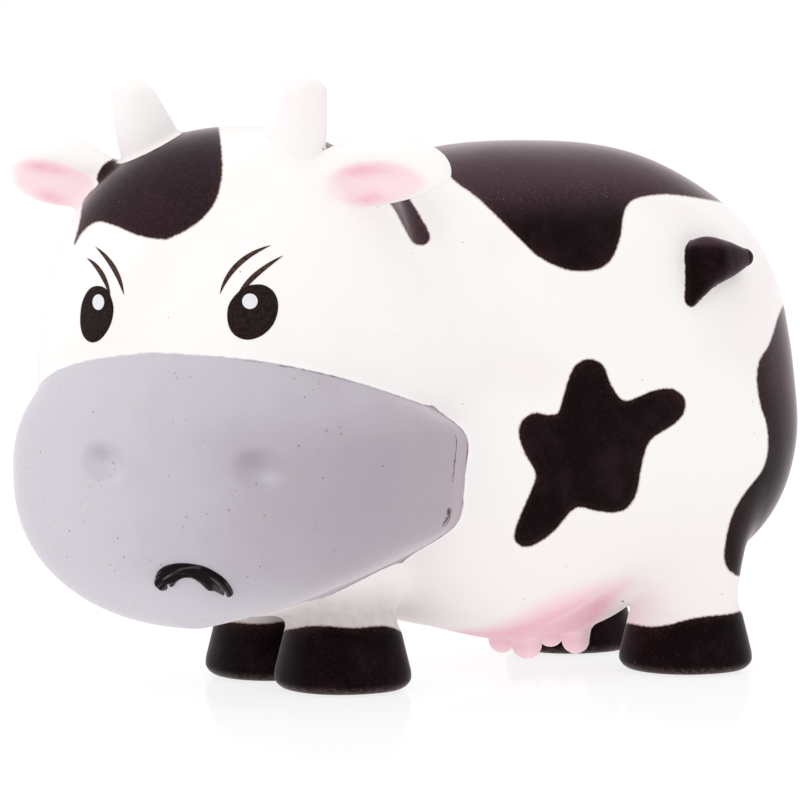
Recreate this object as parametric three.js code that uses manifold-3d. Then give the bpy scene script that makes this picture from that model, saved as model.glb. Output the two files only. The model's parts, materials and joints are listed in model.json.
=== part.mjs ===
// A squeeze toy in the shape of a cross, big-muzzled cow, moulded in soft foam and painted.
// Millimetres, +Z up. The cow stands on its four soles at Z = 0 and faces -Y, so +X is its left side.
// Its head is turned to its own left. The finished group is centred over its footprint box.
import * as THREE from "three";
import { mergeVertices } from "three/addons/utils/BufferGeometryUtils.js";
import Module from "manifold-3d";

const wasm = await Module();
wasm.setup();

const DEGREE = Math.PI / 180;

// Clear space between the skins of neighbouring pieces.
const GAP = 0.3;

// Driving dimensions. A fullness of 2 makes an ellipse, and more makes it squarer.
// Detail and sides say how finely a form is faceted.
// Lengths along the cow are measured from the middle of its stance, backwards being positive.

// Trunk. Its underside is fuller than its back and lifts by a share at the haunches.
const BODY = {
  halfWidth: 23.4,
  halfLength: 32.75,
  halfHeight: 28.55,
  fullness: 2.45,
  bellyFullness: 2.85,
  centreBehind: 7.5,
  bellyClearance: 4.8,
  haunchLift: 0.07,
  haunchStart: 7,
  haunchRun: 16,
  detail: 8,
};

// The head's middle lies beyond the front end of the trunk, and its chin above the floor.
const HEAD = {
  halfWidth: 22.95,
  halfDepth: 20.1,
  halfHeight: 27.7,
  fullness: 2.25,
  beyondBody: 5.35,
  chinClearance: 8.1,
  turn: 37 * DEGREE,
  detail: 7,
};

// The muzzle swells towards its front. Its longer left half tapers to a blunt end, and its right
// half thins to a round one. The swells, tapers and thinnings are shares of its height.
const MUZZLE = {
  rightWidth: 25.1,
  leftWidth: 28,
  leftEnd: 26.5,
  leftEndRounding: 2.5,
  changeWidth: 6,
  halfDepth: 23.3,
  topHeight: 14,
  bottomHeight: 16.4,
  fullness: 2.5,
  swellTop: 0.66,
  swellBottom: 0.28,
  leftTaperTop: 0.27,
  leftTaperBottom: 0.39,
  rightThinTop: 0.36,
  rightThinBottom: 0.17,
  aside: 0.3,
  belowHead: 10.8,
  turn: -7 * DEGREE,
  detail: 8,
};

// The nose features sit a little to the left of the muzzle's middle.
const NOSE_ASIDE = 1.95;

const NOSTRIL = {
  apart: 19.3,
  aboveMuzzle: 1.8,
  halfWidth: 2.8,
  halfHeight: 2.1,
  depth: 1,
  detail: 4,
};

const MOUTH = {
  span: 8.8,
  rise: 2.5,
  aside: 0.75,
  belowMuzzle: 12.5,
  strokeRadius: 0.85,
  endRadius: 0.45,
  sunk: 0.35,
  steps: 12,
  sides: 8,
};

const EYE = {
  apart: 18.5,
  aboveHead: 7.3,
  halfWidth: 2.7,
  halfHeight: 3.1,
  proud: 0.12,
  depth: 0.8,
  sides: 26,
};

const HORN = {
  apart: 15.2,
  ahead: 3.6,
  aboveHead: 21.6,
  rootRadius: 3.3,
  tipRadius: 2.5,
  length: 11.9,
  curl: 1.2,
  leanOut: 20 * DEGREE,
  leanAhead: 18 * DEGREE,
  rings: 4,
  sides: 16,
};

// Ears. The dish is scooped from the front and leaves a thick upper rim.
// The lower half of an ear grows slimmer towards its tip, by the share of the slope.
const EAR = {
  leftLength: 16.6,
  rightLength: 15.4,
  height: 8.2,
  thickness: 4.6,
  fullness: 2.2,
  slope: 0.22,
  rootFromMiddle: 10.6,
  ahead: 5.4,
  aboveHead: 22.5,
  dishDepth: 1.7,
  dishDrop: 0.8,
  rim: 0.9,
  detail: 4,
};

// A leg's root lies inside the trunk, above the belly.
const LEG = {
  ankleRadius: 5.8,
  topRadius: 8.1,
  rootAboveBelly: 16.8,
  fullness: 2.2,
  rings: 6,
  sides: 24,
};

const HOOF = {
  height: 6.85,
  topRadius: 6.5,
  soleRadius: 7.6,
  soleEdge: 1.8,
  topEdge: 0.6,
  fullness: 2.2,
  sides: 24,
};

// The front hooves stand side by side with a clear space between them, the rear ones wide apart.
const STANCE = {
  frontClearance: 0.5,
  rearHalfTrack: 12.6,
  legSpacing: 44.1,
};

// The udder hangs below the belly, and the teats below the udder.
const UDDER = {
  halfWidth: 9,
  halfLength: 11.5,
  halfHeight: 5.5,
  fullness: 2,
  centreBehind: 9.8,
  hang: 1.1,
  detail: 5,
};

const TEAT = {
  acrossApart: 5.3,
  alongApart: 6.9,
  radius: 1.55,
  rootFlare: 0.25,
  hang: 2.5,
  rootDepth: 3.3,
  rings: 4,
  sides: 12,
};

// The tail rises along the left hip, turns at an elbow and points its free tip backwards.
// Its foot, elbow and tip are placed behind and above the middle of the trunk, each with its radius.
// The elbow and the tip stand off the skin of the trunk.
const TAIL = {
  footBehind: 8.2,
  footAbove: 10.1,
  footRadius: 0.8,
  elbowBehind: 11.3,
  elbowAbove: 14,
  elbowRadius: 2.75,
  elbowOff: 0.3,
  tipBehind: 16.3,
  tipAbove: 14.5,
  tipRadius: 0.9,
  tipOff: 2.2,
  endCap: 0.4,
  steps: 12,
  sides: 14,
};

const COLOUR = {
  white: 0xfbf8f6,
  muzzleGrey: 0xb9b1bb,
  black: 0x171013,
  earWhite: 0xfaf0f1,
  udderPink: 0xf3c3cf,
};

// Materials, one made fresh for every piece.
const finish = (colour, roughness) => () =>
  new THREE.MeshStandardMaterial({ color: colour, roughness, metalness: 0 });
const whiteSkin = finish(COLOUR.white, 0.75);
const greySkin = finish(COLOUR.muzzleGrey, 0.6);
const earSkin = finish(COLOUR.earWhite, 0.75);
const pinkSkin = finish(COLOUR.udderPink, 0.7);
const blackPaint = finish(COLOUR.black, 0.4);

const ACROSS = new THREE.Vector3(1, 0, 0);
const ALONG = new THREE.Vector3(0, 1, 0);
const UP = new THREE.Vector3(0, 0, 1);

const SIDES = [
  ["left", 1],
  ["right", -1],
];

// Heights and places that follow from the dimensions above.
const bodyHeight = BODY.bellyClearance + BODY.halfHeight;
const udderBottom = BODY.bellyClearance - UDDER.hang;

const ENDS = [
  ["front", -1, HOOF.soleRadius + STANCE.frontClearance / 2],
  ["rear", 1, STANCE.rearHalfTrack],
];

// How far a direction runs from the middle of a superellipsoid to its skin.
function reach(direction, half, fullness) {
  const share =
    Math.abs(direction.x / half.x) ** fullness +
    Math.abs(direction.y / half.y) ** fullness +
    Math.abs(direction.z / half.z) ** fullness;
  return share ** (-1 / fullness);
}

// How far above and below the middle of a ball, as a share of its height, a change is spread.
const CHANGE_SHARE = 0.3;

// A ball pushed out to a superellipsoid, as a closed skin of even triangles.
// The lower half may have a fullness of its own.
function swollenBall(halfX, halfY, halfZ, fullness, detail, lowerFullness = fullness) {
  const ball = new THREE.IcosahedronGeometry(1, detail);
  const half = new THREE.Vector3(halfX, halfY, halfZ);
  const points = ball.getAttribute("position");
  const point = new THREE.Vector3();
  for (let i = 0; i < points.count; i += 1) {
    point.fromBufferAttribute(points, i);
    const upper = THREE.MathUtils.smoothstep(point.z, -CHANGE_SHARE, CHANGE_SHARE);
    const own = THREE.MathUtils.lerp(lowerFullness, fullness, upper);
    point.multiplyScalar(reach(point, half, own));
    points.setXYZ(i, point.x, point.y, point.z);
  }
  ball.deleteAttribute("normal");
  ball.deleteAttribute("uv");
  return mergeVertices(ball, 1e-4);
}

// A ring of points around a centre, anticlockwise from one axis to the other,
// with a half size along each.
function ringAround(centre, axisA, halfA, axisB, halfB, sides, fullness = 2) {
  const points = [];
  for (let side = 0; side < sides; side += 1) {
    const angle = (side / sides) * 2 * Math.PI;
    const a = Math.cos(angle);
    const b = Math.sin(angle);
    const out = (Math.abs(a) ** fullness + Math.abs(b) ** fullness) ** (-1 / fullness);
    const point = centre.clone();
    point.addScaledVector(axisA, a * out * halfA);
    point.addScaledVector(axisB, b * out * halfB);
    points.push(point);
  }
  return points;
}

// A closed skin through rings of points, with one point to close each end.
function skinThrough(rings, firstTip, lastTip) {
  const sides = rings[0].length;
  const points = [firstTip, ...rings.flat(), lastTip];
  const last = points.length - 1;
  const at = (ring, side) => 1 + ring * sides + (side % sides);
  const faces = [];
  for (let side = 0; side < sides; side += 1) {
    faces.push(0, at(0, side + 1), at(0, side));
    faces.push(last, at(rings.length - 1, side), at(rings.length - 1, side + 1));
    for (let ring = 0; ring < rings.length - 1; ring += 1) {
      faces.push(at(ring, side), at(ring, side + 1), at(ring + 1, side + 1));
      faces.push(at(ring, side), at(ring + 1, side + 1), at(ring + 1, side));
    }
  }
  const geometry = new THREE.BufferGeometry();
  geometry.setFromPoints(points);
  geometry.setIndex(faces);
  return geometry;
}

// An upright form from pairs of height and radius, closed flat at both ends.
function column(profile, sides, fullness) {
  const rings = profile.map(([height, radius]) =>
    ringAround(new THREE.Vector3(0, 0, height), ACROSS, radius, ALONG, radius, sides, fullness),
  );
  const bottom = new THREE.Vector3(0, 0, profile[0][0]);
  const top = new THREE.Vector3(0, 0, profile[profile.length - 1][0]);
  return skinThrough(rings, bottom, top);
}

// A geometry as a solid, and a solid as a geometry.
function solidOf(geometry, matrix = new THREE.Matrix4()) {
  const moved = geometry.clone().applyMatrix4(matrix);
  return new wasm.Manifold(
    new wasm.Mesh({
      numProp: 3,
      vertProperties: moved.getAttribute("position").array,
      triVerts: new Uint32Array(moved.index.array),
    }),
  );
}

function geometryOf(solid) {
  const mesh = solid.getMesh();
  const geometry = new THREE.BufferGeometry();
  geometry.setAttribute("position", new THREE.BufferAttribute(mesh.vertProperties, 3));
  geometry.setIndex(new THREE.BufferAttribute(mesh.triVerts, 1));
  return geometry;
}

const cow = new THREE.Group();
const headGroup = new THREE.Group();
headGroup.position.set(
  0,
  BODY.centreBehind - BODY.halfLength - HEAD.beyondBody,
  HEAD.chinClearance + HEAD.halfHeight,
);
headGroup.rotation.z = HEAD.turn;
cow.add(headGroup);

// A named piece in a group. Its shape is a function of how far the skin grows outwards,
// so that a neighbour can be cut back to leave the gap.
function addPiece(parent, name, shape, material, place = {}) {
  const mesh = new THREE.Mesh(shape(0), material());
  mesh.name = name;
  mesh.userData.grown = shape(GAP);
  mesh.position.set(place.x ?? 0, place.y ?? 0, place.z ?? 0);
  mesh.rotation.set(place.turnX ?? 0, place.turnY ?? 0, place.turnZ ?? 0);
  parent.add(mesh);
  cow.updateMatrixWorld(true);
  return mesh;
}

// Cuts a piece back to the gap from its larger neighbours.
function cutBack(mesh, ...neighbours) {
  const toPiece = mesh.matrixWorld.clone().invert();
  let solid = solidOf(mesh.geometry);
  for (const neighbour of neighbours) {
    const matrix = toPiece.clone().multiply(neighbour.matrixWorld);
    solid = solid.subtract(solidOf(neighbour.userData.grown, matrix));
  }
  mesh.geometry = geometryOf(solid);
}

// Takes a form, in the head group's frame, out of a piece.
function takeFrom(mesh, form) {
  const matrix = mesh.matrixWorld.clone().invert().multiply(headGroup.matrixWorld);
  mesh.geometry = geometryOf(solidOf(mesh.geometry).subtract(solidOf(form, matrix)));
}

// The place where a line running inwards first meets a piece, and the way out of its skin there,
// both in the frame of the group that holds the piece.
function onSkin(mesh, start, inwards) {
  const group = mesh.parent;
  const from = group.localToWorld(start.clone());
  const ray = new THREE.Raycaster(from, inwards.clone().transformDirection(group.matrixWorld));
  const [hit] = ray.intersectObject(mesh, false);
  const out = hit.face.normal.clone().transformDirection(mesh.matrixWorld);
  out.transformDirection(group.matrixWorld.clone().invert());
  return { point: group.worldToLocal(hit.point.clone()), out };
}

function onFace(mesh, across, up) {
  return onSkin(mesh, new THREE.Vector3(across, -3 * HEAD.halfDepth, up), ALONG);
}

// The placing that takes +Z to a way out of a skin, with the X axis kept level.
function facing(out, point) {
  const level = new THREE.Vector3().crossVectors(UP, out).normalize();
  const upright = new THREE.Vector3().crossVectors(out, level);
  return new THREE.Matrix4().makeBasis(level, upright, out).setPosition(point);
}

// Trunk.
function bodyShape(grow) {
  const ball = swollenBall(
    BODY.halfWidth + grow,
    BODY.halfLength + grow,
    BODY.halfHeight + grow,
    BODY.fullness,
    BODY.detail,
    BODY.bellyFullness,
  );
  const points = ball.getAttribute("position");
  const end = BODY.haunchStart + BODY.haunchRun;
  for (let i = 0; i < points.count; i += 1) {
    if (points.getZ(i) < 0) {
      const share = THREE.MathUtils.smoothstep(points.getY(i), BODY.haunchStart, end);
      points.setZ(i, points.getZ(i) * (1 - BODY.haunchLift * share));
    }
  }
  return ball;
}

const body = addPiece(cow, "body", bodyShape, whiteSkin, {
  y: BODY.centreBehind,
  z: bodyHeight,
});

// Head.
function headShape(grow) {
  return swollenBall(
    HEAD.halfWidth + grow,
    HEAD.halfDepth + grow,
    HEAD.halfHeight + grow,
    HEAD.fullness,
    HEAD.detail,
  );
}

const head = addPiece(headGroup, "head", headShape, whiteSkin);
cutBack(head, body);

// The smaller of two numbers, rounded over where they meet.
function softMinimum(a, b, rounding) {
  const near = Math.max(rounding - Math.abs(a - b), 0);
  return Math.min(a, b) - (near * near) / (4 * rounding);
}

// Muzzle.
function muzzleShape(grow) {
  const { rightWidth, leftWidth, changeWidth, halfDepth, topHeight } = MUZZLE;
  const ball = swollenBall(
    rightWidth + grow,
    halfDepth + grow,
    topHeight,
    MUZZLE.fullness,
    MUZZLE.detail,
  );
  const upper = [topHeight, MUZZLE.swellTop, MUZZLE.leftTaperTop, MUZZLE.rightThinTop];
  const lower = [
    MUZZLE.bottomHeight,
    MUZZLE.swellBottom,
    MUZZLE.leftTaperBottom,
    MUZZLE.rightThinBottom,
  ];
  const points = ball.getAttribute("position");
  for (let i = 0; i < points.count; i += 1) {
    const forward = -points.getY(i) / halfDepth;
    const outward = points.getX(i) / rightWidth;
    const height = points.getZ(i);
    const left = THREE.MathUtils.smoothstep(points.getX(i), -changeWidth, changeWidth);
    const across = outward * THREE.MathUtils.lerp(rightWidth, leftWidth, left);
    const [half, swell, taper, thin] = height > 0 ? upper : lower;
    const narrowing = taper * Math.max(outward, 0) + thin * (1 - left) * outward * outward;
    const tall = half * (1 + swell * forward) * (1 - narrowing) + grow;
    points.setX(i, softMinimum(across, MUZZLE.leftEnd + grow, MUZZLE.leftEndRounding));
    points.setZ(i, (height / topHeight) * tall);
  }
  return ball;
}

const muzzle = addPiece(headGroup, "muzzle", muzzleShape, greySkin, {
  x: MUZZLE.aside,
  z: -MUZZLE.belowHead,
  turnZ: MUZZLE.turn,
});
cutBack(muzzle, head, body);

// Nostrils: shallow dimples in the muzzle.
function addNostril(side) {
  const across = MUZZLE.aside + NOSE_ASIDE + (side * NOSTRIL.apart) / 2;
  const { point, out } = onFace(muzzle, across, NOSTRIL.aboveMuzzle - MUZZLE.belowHead);
  const { halfWidth, halfHeight, depth, detail } = NOSTRIL;
  const dimple = swollenBall(halfWidth, halfHeight, depth, 2, detail);
  takeFrom(muzzle, dimple.applyMatrix4(facing(out, point)));
}

for (const [, side] of SIDES) {
  addNostril(side);
}

// Mouth: a black arch seated in a groove of the muzzle, its two ends slimmer than its middle.
function mouthShape(grow) {
  const across = MUZZLE.aside + NOSE_ASIDE + MOUTH.aside;
  const foot = -MUZZLE.belowHead - MOUTH.belowMuzzle;
  const { out } = onFace(muzzle, across, foot);
  const sunkPoint = (step) => {
    const share = (2 * step) / MOUTH.steps - 1;
    const up = foot + MOUTH.rise * (1 - share * share);
    const { point } = onFace(muzzle, across + (share * MOUTH.span) / 2, up);
    return point.addScaledVector(out, -MOUTH.sunk);
  };
  const rings = [];
  for (let step = 0; step <= MOUTH.steps; step += 1) {
    const share = (2 * step) / MOUTH.steps - 1;
    const before = sunkPoint(Math.max(step - 1, 0));
    const after = sunkPoint(Math.min(step + 1, MOUTH.steps));
    const along = after.sub(before).normalize();
    const wide = new THREE.Vector3().crossVectors(along, out).normalize();
    const proud = new THREE.Vector3().crossVectors(wide, along);
    const slim = share * share;
    const radius = MOUTH.strokeRadius * (1 - slim) + MOUTH.endRadius * slim + grow;
    rings.push(ringAround(sunkPoint(step), proud, radius, wide, radius, MOUTH.sides));
  }
  return skinThrough(rings, sunkPoint(0), sunkPoint(MOUTH.steps));
}

const mouth = addPiece(headGroup, "mouth", mouthShape, blackPaint);
takeFrom(muzzle, mouth.userData.grown);

// Eyes: oval inlays that follow the skin of the head, each in a pocket of its own.
function eyePlug(grow) {
  const length = 3 * EYE.depth;
  const oval = (height) =>
    ringAround(
      new THREE.Vector3(0, 0, height),
      ACROSS,
      EYE.halfWidth + grow,
      ALONG,
      EYE.halfHeight + grow,
      EYE.sides,
    );
  const back = new THREE.Vector3(0, 0, -length);
  const front = new THREE.Vector3(0, 0, length);
  return skinThrough([oval(-length), oval(length)], back, front);
}

function addEye(sideName, side) {
  const { point, out } = onFace(head, (side * EYE.apart) / 2, EYE.aboveHead);
  const place = facing(out, point);
  const skinLayer = solidOf(headShape(EYE.proud)).subtract(solidOf(headShape(-EYE.depth)));
  const eye = geometryOf(solidOf(eyePlug(0), place).intersect(skinLayer));
  const pocketFloor = solidOf(headShape(-EYE.depth - GAP));
  takeFrom(head, geometryOf(solidOf(eyePlug(GAP), place).subtract(pocketFloor)));
  addPiece(headGroup, `eye_${sideName}`, () => eye, blackPaint);
}

for (const [sideName, side] of SIDES) {
  addEye(sideName, side);
}

// Horns: round pegs that lean out, curl back upright and end in domes.
function hornShape(side, grow) {
  const straight = HORN.length - HORN.tipRadius;
  const rings = [];
  const addRing = (height, radius) => {
    const share = height / HORN.length;
    const centre = new THREE.Vector3(-side * HORN.curl * share * share, 0, height);
    rings.push(ringAround(centre, ACROSS, radius, ALONG, radius, HORN.sides));
  };
  for (let ring = 0; ring < HORN.rings; ring += 1) {
    const share = ring / HORN.rings;
    const radius = THREE.MathUtils.lerp(HORN.rootRadius, HORN.tipRadius, share) + grow;
    addRing(straight * share, radius);
  }
  for (let ring = 0; ring < HORN.rings; ring += 1) {
    const angle = (ring / HORN.rings) * 90 * DEGREE;
    const radius = HORN.tipRadius + grow;
    addRing(straight + radius * Math.sin(angle), radius * Math.cos(angle));
  }
  const foot = new THREE.Vector3(0, 0, 0);
  const tip = new THREE.Vector3(-side * HORN.curl, 0, HORN.length + grow);
  return skinThrough(rings, foot, tip);
}

// Ears: fat leaves, each with its dish.
function earShape(side, grow) {
  const half = (side > 0 ? EAR.leftLength : EAR.rightLength) / 2;
  const halfThick = EAR.thickness / 2;
  const halfTall = EAR.height / 2;
  const leaf = swollenBall(
    half + grow,
    halfThick + grow,
    halfTall + grow,
    EAR.fullness,
    EAR.detail,
  );
  const dish = swollenBall(half - EAR.rim, EAR.dishDepth, halfTall - EAR.rim, 2, EAR.detail);
  dish.translate((-side * EAR.rim) / 2, -halfThick, -EAR.dishDrop);
  const ear = geometryOf(solidOf(leaf).subtract(solidOf(dish)));
  const points = ear.getAttribute("position");
  for (let i = 0; i < points.count; i += 1) {
    if (points.getZ(i) < 0) {
      const outward = (side * points.getX(i)) / half;
      points.setZ(i, points.getZ(i) * (1 - EAR.slope * outward));
    }
  }
  return ear.translate(side * half, 0, 0);
}

for (const [sideName, side] of SIDES) {
  const makeHorn = (grow) => hornShape(side, grow);
  const horn = addPiece(headGroup, `horn_${sideName}`, makeHorn, whiteSkin, {
    x: (side * HORN.apart) / 2,
    y: -HORN.ahead,
    z: HORN.aboveHead,
    turnX: HORN.leanAhead,
    turnY: side * HORN.leanOut,
  });
  cutBack(horn, head);
  const makeEar = (grow) => earShape(side, grow);
  const ear = addPiece(headGroup, `ear_${sideName}`, makeEar, earSkin, {
    x: side * EAR.rootFromMiddle,
    y: -EAR.ahead,
    z: EAR.aboveHead,
  });
  cutBack(ear, head, horn);
}

// Legs and hooves.
function legShape(grow) {
  const bottom = HOOF.height + GAP - grow;
  const top = BODY.bellyClearance + LEG.rootAboveBelly + grow;
  const profile = [];
  for (let ring = 0; ring < LEG.rings; ring += 1) {
    const share = ring / (LEG.rings - 1);
    const swell = THREE.MathUtils.smoothstep(share, 0, 1);
    const radius = THREE.MathUtils.lerp(LEG.ankleRadius, LEG.topRadius, swell);
    profile.push([THREE.MathUtils.lerp(bottom, top, share), radius + grow]);
  }
  return column(profile, LEG.sides, LEG.fullness);
}

function hoofShape(grow) {
  const { height, topRadius, soleRadius, soleEdge, topEdge } = HOOF;
  const profile = [
    [0, soleRadius - soleEdge],
    [0.3 * soleEdge, soleRadius - 0.3 * soleEdge],
    [soleEdge, soleRadius],
    [0.5 * height, (soleRadius + topRadius) / 2],
    [height - topEdge, topRadius],
    [height, topRadius - topEdge],
  ];
  return column(
    profile.map(([z, radius]) => [z, radius + grow]),
    HOOF.sides,
    HOOF.fullness,
  );
}

const legs = [];
for (const [endName, end, halfTrack] of ENDS) {
  for (const [sideName, side] of SIDES) {
    const place = { x: side * halfTrack, y: (end * STANCE.legSpacing) / 2 };
    const leg = addPiece(cow, `leg_${endName}_${sideName}`, legShape, whiteSkin, place);
    cutBack(leg, body, head, muzzle);
    legs.push(leg);
    const hoof = addPiece(cow, `hoof_${endName}_${sideName}`, hoofShape, blackPaint, place);
    cutBack(hoof, body, muzzle);
  }
}

// Udder and teats.
function udderShape(grow) {
  return swollenBall(
    UDDER.halfWidth + grow,
    UDDER.halfLength + grow,
    UDDER.halfHeight + grow,
    UDDER.fullness,
    UDDER.detail,
  );
}

const udder = addPiece(cow, "udder", udderShape, pinkSkin, {
  y: UDDER.centreBehind,
  z: udderBottom + UDDER.halfHeight,
});
cutBack(udder, body, ...legs);

function teatShape(grow) {
  const tip = udderBottom - TEAT.hang;
  const profile = [];
  for (let ring = 1; ring <= TEAT.rings; ring += 1) {
    const angle = (ring / TEAT.rings) * 90 * DEGREE;
    const height = tip - grow + TEAT.radius * (1 - Math.cos(angle));
    profile.push([height, TEAT.radius * Math.sin(angle) + grow]);
  }
  profile.push([udderBottom + TEAT.rootDepth, TEAT.radius + TEAT.rootFlare + grow]);
  return column(profile, TEAT.sides, 2);
}

for (const [endName, end] of ENDS) {
  for (const [sideName, side] of SIDES) {
    const teat = addPiece(cow, `teat_${endName}_${sideName}`, teatShape, pinkSkin, {
      x: (side * TEAT.acrossApart) / 2,
      y: UDDER.centreBehind + (end * TEAT.alongApart) / 2,
    });
    cutBack(teat, udder, body);
  }
}

// Tail.
function hipPoint(behind, above, off) {
  const start = new THREE.Vector3(
    2 * BODY.halfWidth,
    BODY.centreBehind + behind,
    bodyHeight + above,
  );
  const { point, out } = onSkin(body, start, ACROSS.clone().negate());
  return point.addScaledVector(out, off);
}

function tailShape(grow) {
  const foot = hipPoint(TAIL.footBehind, TAIL.footAbove, 0);
  const elbow = hipPoint(TAIL.elbowBehind, TAIL.elbowAbove, TAIL.elbowOff);
  const tip = hipPoint(TAIL.tipBehind, TAIL.tipAbove, TAIL.tipOff);
  const path = new THREE.CatmullRomCurve3([foot, elbow, tip]);
  const rings = [];
  for (let step = 0; step <= TAIL.steps; step += 1) {
    const share = step / TAIL.steps;
    const along = path.getTangent(share);
    const out = ACROSS.clone().addScaledVector(along, -along.x).normalize();
    const wide = new THREE.Vector3().crossVectors(along, out);
    const fromElbow = Math.abs(2 * share - 1);
    const endRadius = share < 0.5 ? TAIL.footRadius : TAIL.tipRadius;
    const slim = fromElbow ** 2;
    const radius = THREE.MathUtils.lerp(TAIL.elbowRadius, endRadius, slim) + grow;
    rings.push(ringAround(path.getPoint(share), out, radius, wide, radius, TAIL.sides));
  }
  const first = path.getPoint(0).addScaledVector(path.getTangent(0), -TAIL.endCap - grow);
  const last = path.getPoint(1).addScaledVector(path.getTangent(1), TAIL.endCap + grow);
  return skinThrough(rings, first, last);
}

const tail = addPiece(cow, "tail", tailShape, blackPaint);
cutBack(tail, body);

// Centre the group over the box of its footprint.
cow.updateMatrixWorld(true);
const box = new THREE.Box3().setFromObject(cow, true);
const middle = box.getCenter(new THREE.Vector3());
cow.position.set(-middle.x, -middle.y, 0);

export default cow;
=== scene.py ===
"""A soft foam squeeze toy in the shape of a cross, big-muzzled cow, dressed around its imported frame."""

import json
import math

import bpy
import numpy as np
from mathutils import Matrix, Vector
from mathutils.geometry import delaunay_2d_cdt


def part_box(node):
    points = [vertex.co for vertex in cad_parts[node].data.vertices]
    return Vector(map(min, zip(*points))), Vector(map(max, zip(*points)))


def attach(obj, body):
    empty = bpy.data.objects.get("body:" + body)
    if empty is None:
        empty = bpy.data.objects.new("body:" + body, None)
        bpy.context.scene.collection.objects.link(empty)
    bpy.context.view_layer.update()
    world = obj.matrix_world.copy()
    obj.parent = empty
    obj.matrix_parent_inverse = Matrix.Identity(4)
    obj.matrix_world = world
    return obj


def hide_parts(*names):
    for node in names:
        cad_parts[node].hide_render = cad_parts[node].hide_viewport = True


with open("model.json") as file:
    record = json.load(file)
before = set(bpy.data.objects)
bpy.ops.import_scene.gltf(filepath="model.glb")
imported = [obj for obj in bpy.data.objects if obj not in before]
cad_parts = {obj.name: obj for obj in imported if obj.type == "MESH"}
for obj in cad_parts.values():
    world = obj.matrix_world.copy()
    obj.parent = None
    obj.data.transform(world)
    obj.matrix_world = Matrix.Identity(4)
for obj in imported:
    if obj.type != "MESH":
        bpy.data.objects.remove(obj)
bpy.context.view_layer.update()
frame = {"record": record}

# Sizes are in millimetres. The cow's own frame has its origin on the floor in the middle of its
# four hooves, +X to the cow's left, +Y backwards and +Z up.
MM = 0.001
DEGREE = math.pi / 180

# The grid that the skin is drawn through, and how often its points are evened out.
GRID_STEP = 0.45
GRID_LOW = np.array([-31.0, -59.0, -1.2])
GRID_HIGH = np.array([31.0, 44.0, 71.0])
EVENING_ROUNDS = 3

# Which way each side of the cow lies along X.
SIDES = {"left": 1, "right": -1}

BODY_CENTRE = np.array([0, 7.5, 33.35])
BODY_HALF = np.array([23.4, 32.75, 28.55])
BACK_FULLNESS = 2.45
BELLY_FULLNESS = 2.85
# How far above and below the body's middle its squarer belly passes into its rounder back.
FLANK = 8
# A shallow dip across the back before the tail: how deep it is, where, and how far it spreads.
DIP_SHARE = 0.03
DIP_PLACE = 20.5
DIP_SPREAD = 7
# How much the underside rises towards the haunches, and where the rise begins and ends.
HAUNCH_LIFT = 0.125
HAUNCH_START = -6
HAUNCH_END = 6

HEAD_CENTRE = np.array([0, -30.6, 35.8])
HEAD_HALF = np.array([22.95, 20.1, 27.7])
HEAD_FULLNESS = 2.25
HEAD_TURN = 37 * DEGREE

# The muzzle is longer on its left side, thins towards both cheeks and ends bluntly on the left.
MUZZLE_PLACE = np.array([0.3, 0, -10.8])
MUZZLE_TURN = -7 * DEGREE
MUZZLE_RIGHT = 25.1
MUZZLE_LEFT = 28
MUZZLE_DEPTH = 23.3
MUZZLE_TOP = 14
MUZZLE_BOTTOM = 16.4
MUZZLE_FULLNESS = 2.5
SWELL_TOP = 0.66
SWELL_BOTTOM = 0.28
RIGHT_THIN_TOP = 0.36
RIGHT_THIN_BOTTOM = 0.17
LEFT_TAPER_TOP = 0.27
LEFT_TAPER_BOTTOM = 0.39
LEFT_END = 25.8
LEFT_END_SLANT = 0.13
LEFT_END_ROUNDING = 1.5
# Half the width over which its right side passes into its left, and how far beyond its own size
# its swell and its tapers still grow.
MUZZLE_CHANGE = 6
MUZZLE_REACH = 1.2

NOSTRIL_PLACES = [(-7.4, -8.9), (11.9, -9.1)]
NOSTRIL_HALF = np.array([2.6, 2.0, 1.3])
NOSTRIL_BLEND = 0.9

EAR_ROOT = np.array([10.6, -5.4, 22.5])
EAR_HALVES = {"left": np.array([8.3, 2.3, 4.1]), "right": np.array([7.7, 2.3, 4.1])}
EAR_FULLNESS = 2.2
# How tall each ear's lower half is beside its upper half, and how much less so towards its tip.
EAR_LOWERS = {"left": (0.86, 0.3), "right": (0.95, 0.04)}
# How much each ear's upper half slims towards its root, how gently that begins and where it ends.
EAR_SHOULDERS = {"left": 0.1, "right": 0.85}
SHOULDER_SOFTNESS = 0.04
SHOULDER_END = 0.75
DISH_MIDDLES = {"left": np.array([0.2, 0, -1.4]), "right": np.array([1.6, 0, -1.45])}
DISH_DEPTH = 1.4
DISH_HEIGHT = 3.0
DISH_RIMS = {"left": 2.1, "right": 1.6}
DISH_BLEND = 1.0
# How much each dish rises towards the ear's tip.
DISH_SLOPES = {"left": 0.0, "right": 0.19}
# Where the deep rose band under each ear's rim lies, and the rose spot low in its dish, along it.
ROSE_PLACES = {"left": (-1.9, -1.0), "right": (1.6, 0.7)}

HORN_ROOT = np.array([7.6, -3.6, 21.6])
# Each horn's radius at its root and its tip, and how late it thins.
HORN_RADII = {"left": (3.1, 2.4), "right": (3.8, 2.1)}
HORN_TAPER = 2
HORN_LENGTH = 13.4
# The height in the head's frame at which the horns' tips are flattened, and how softly.
HORN_TOP = 33.0
HORN_TOP_ROUNDING = 2.0
HORN_CURLS = {"left": 1.2, "right": 2.4}
HORN_LEAN_OUT = {"left": 20 * DEGREE, "right": 23.5 * DEGREE}
HORN_LEAN_AHEAD = 18 * DEGREE

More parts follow.
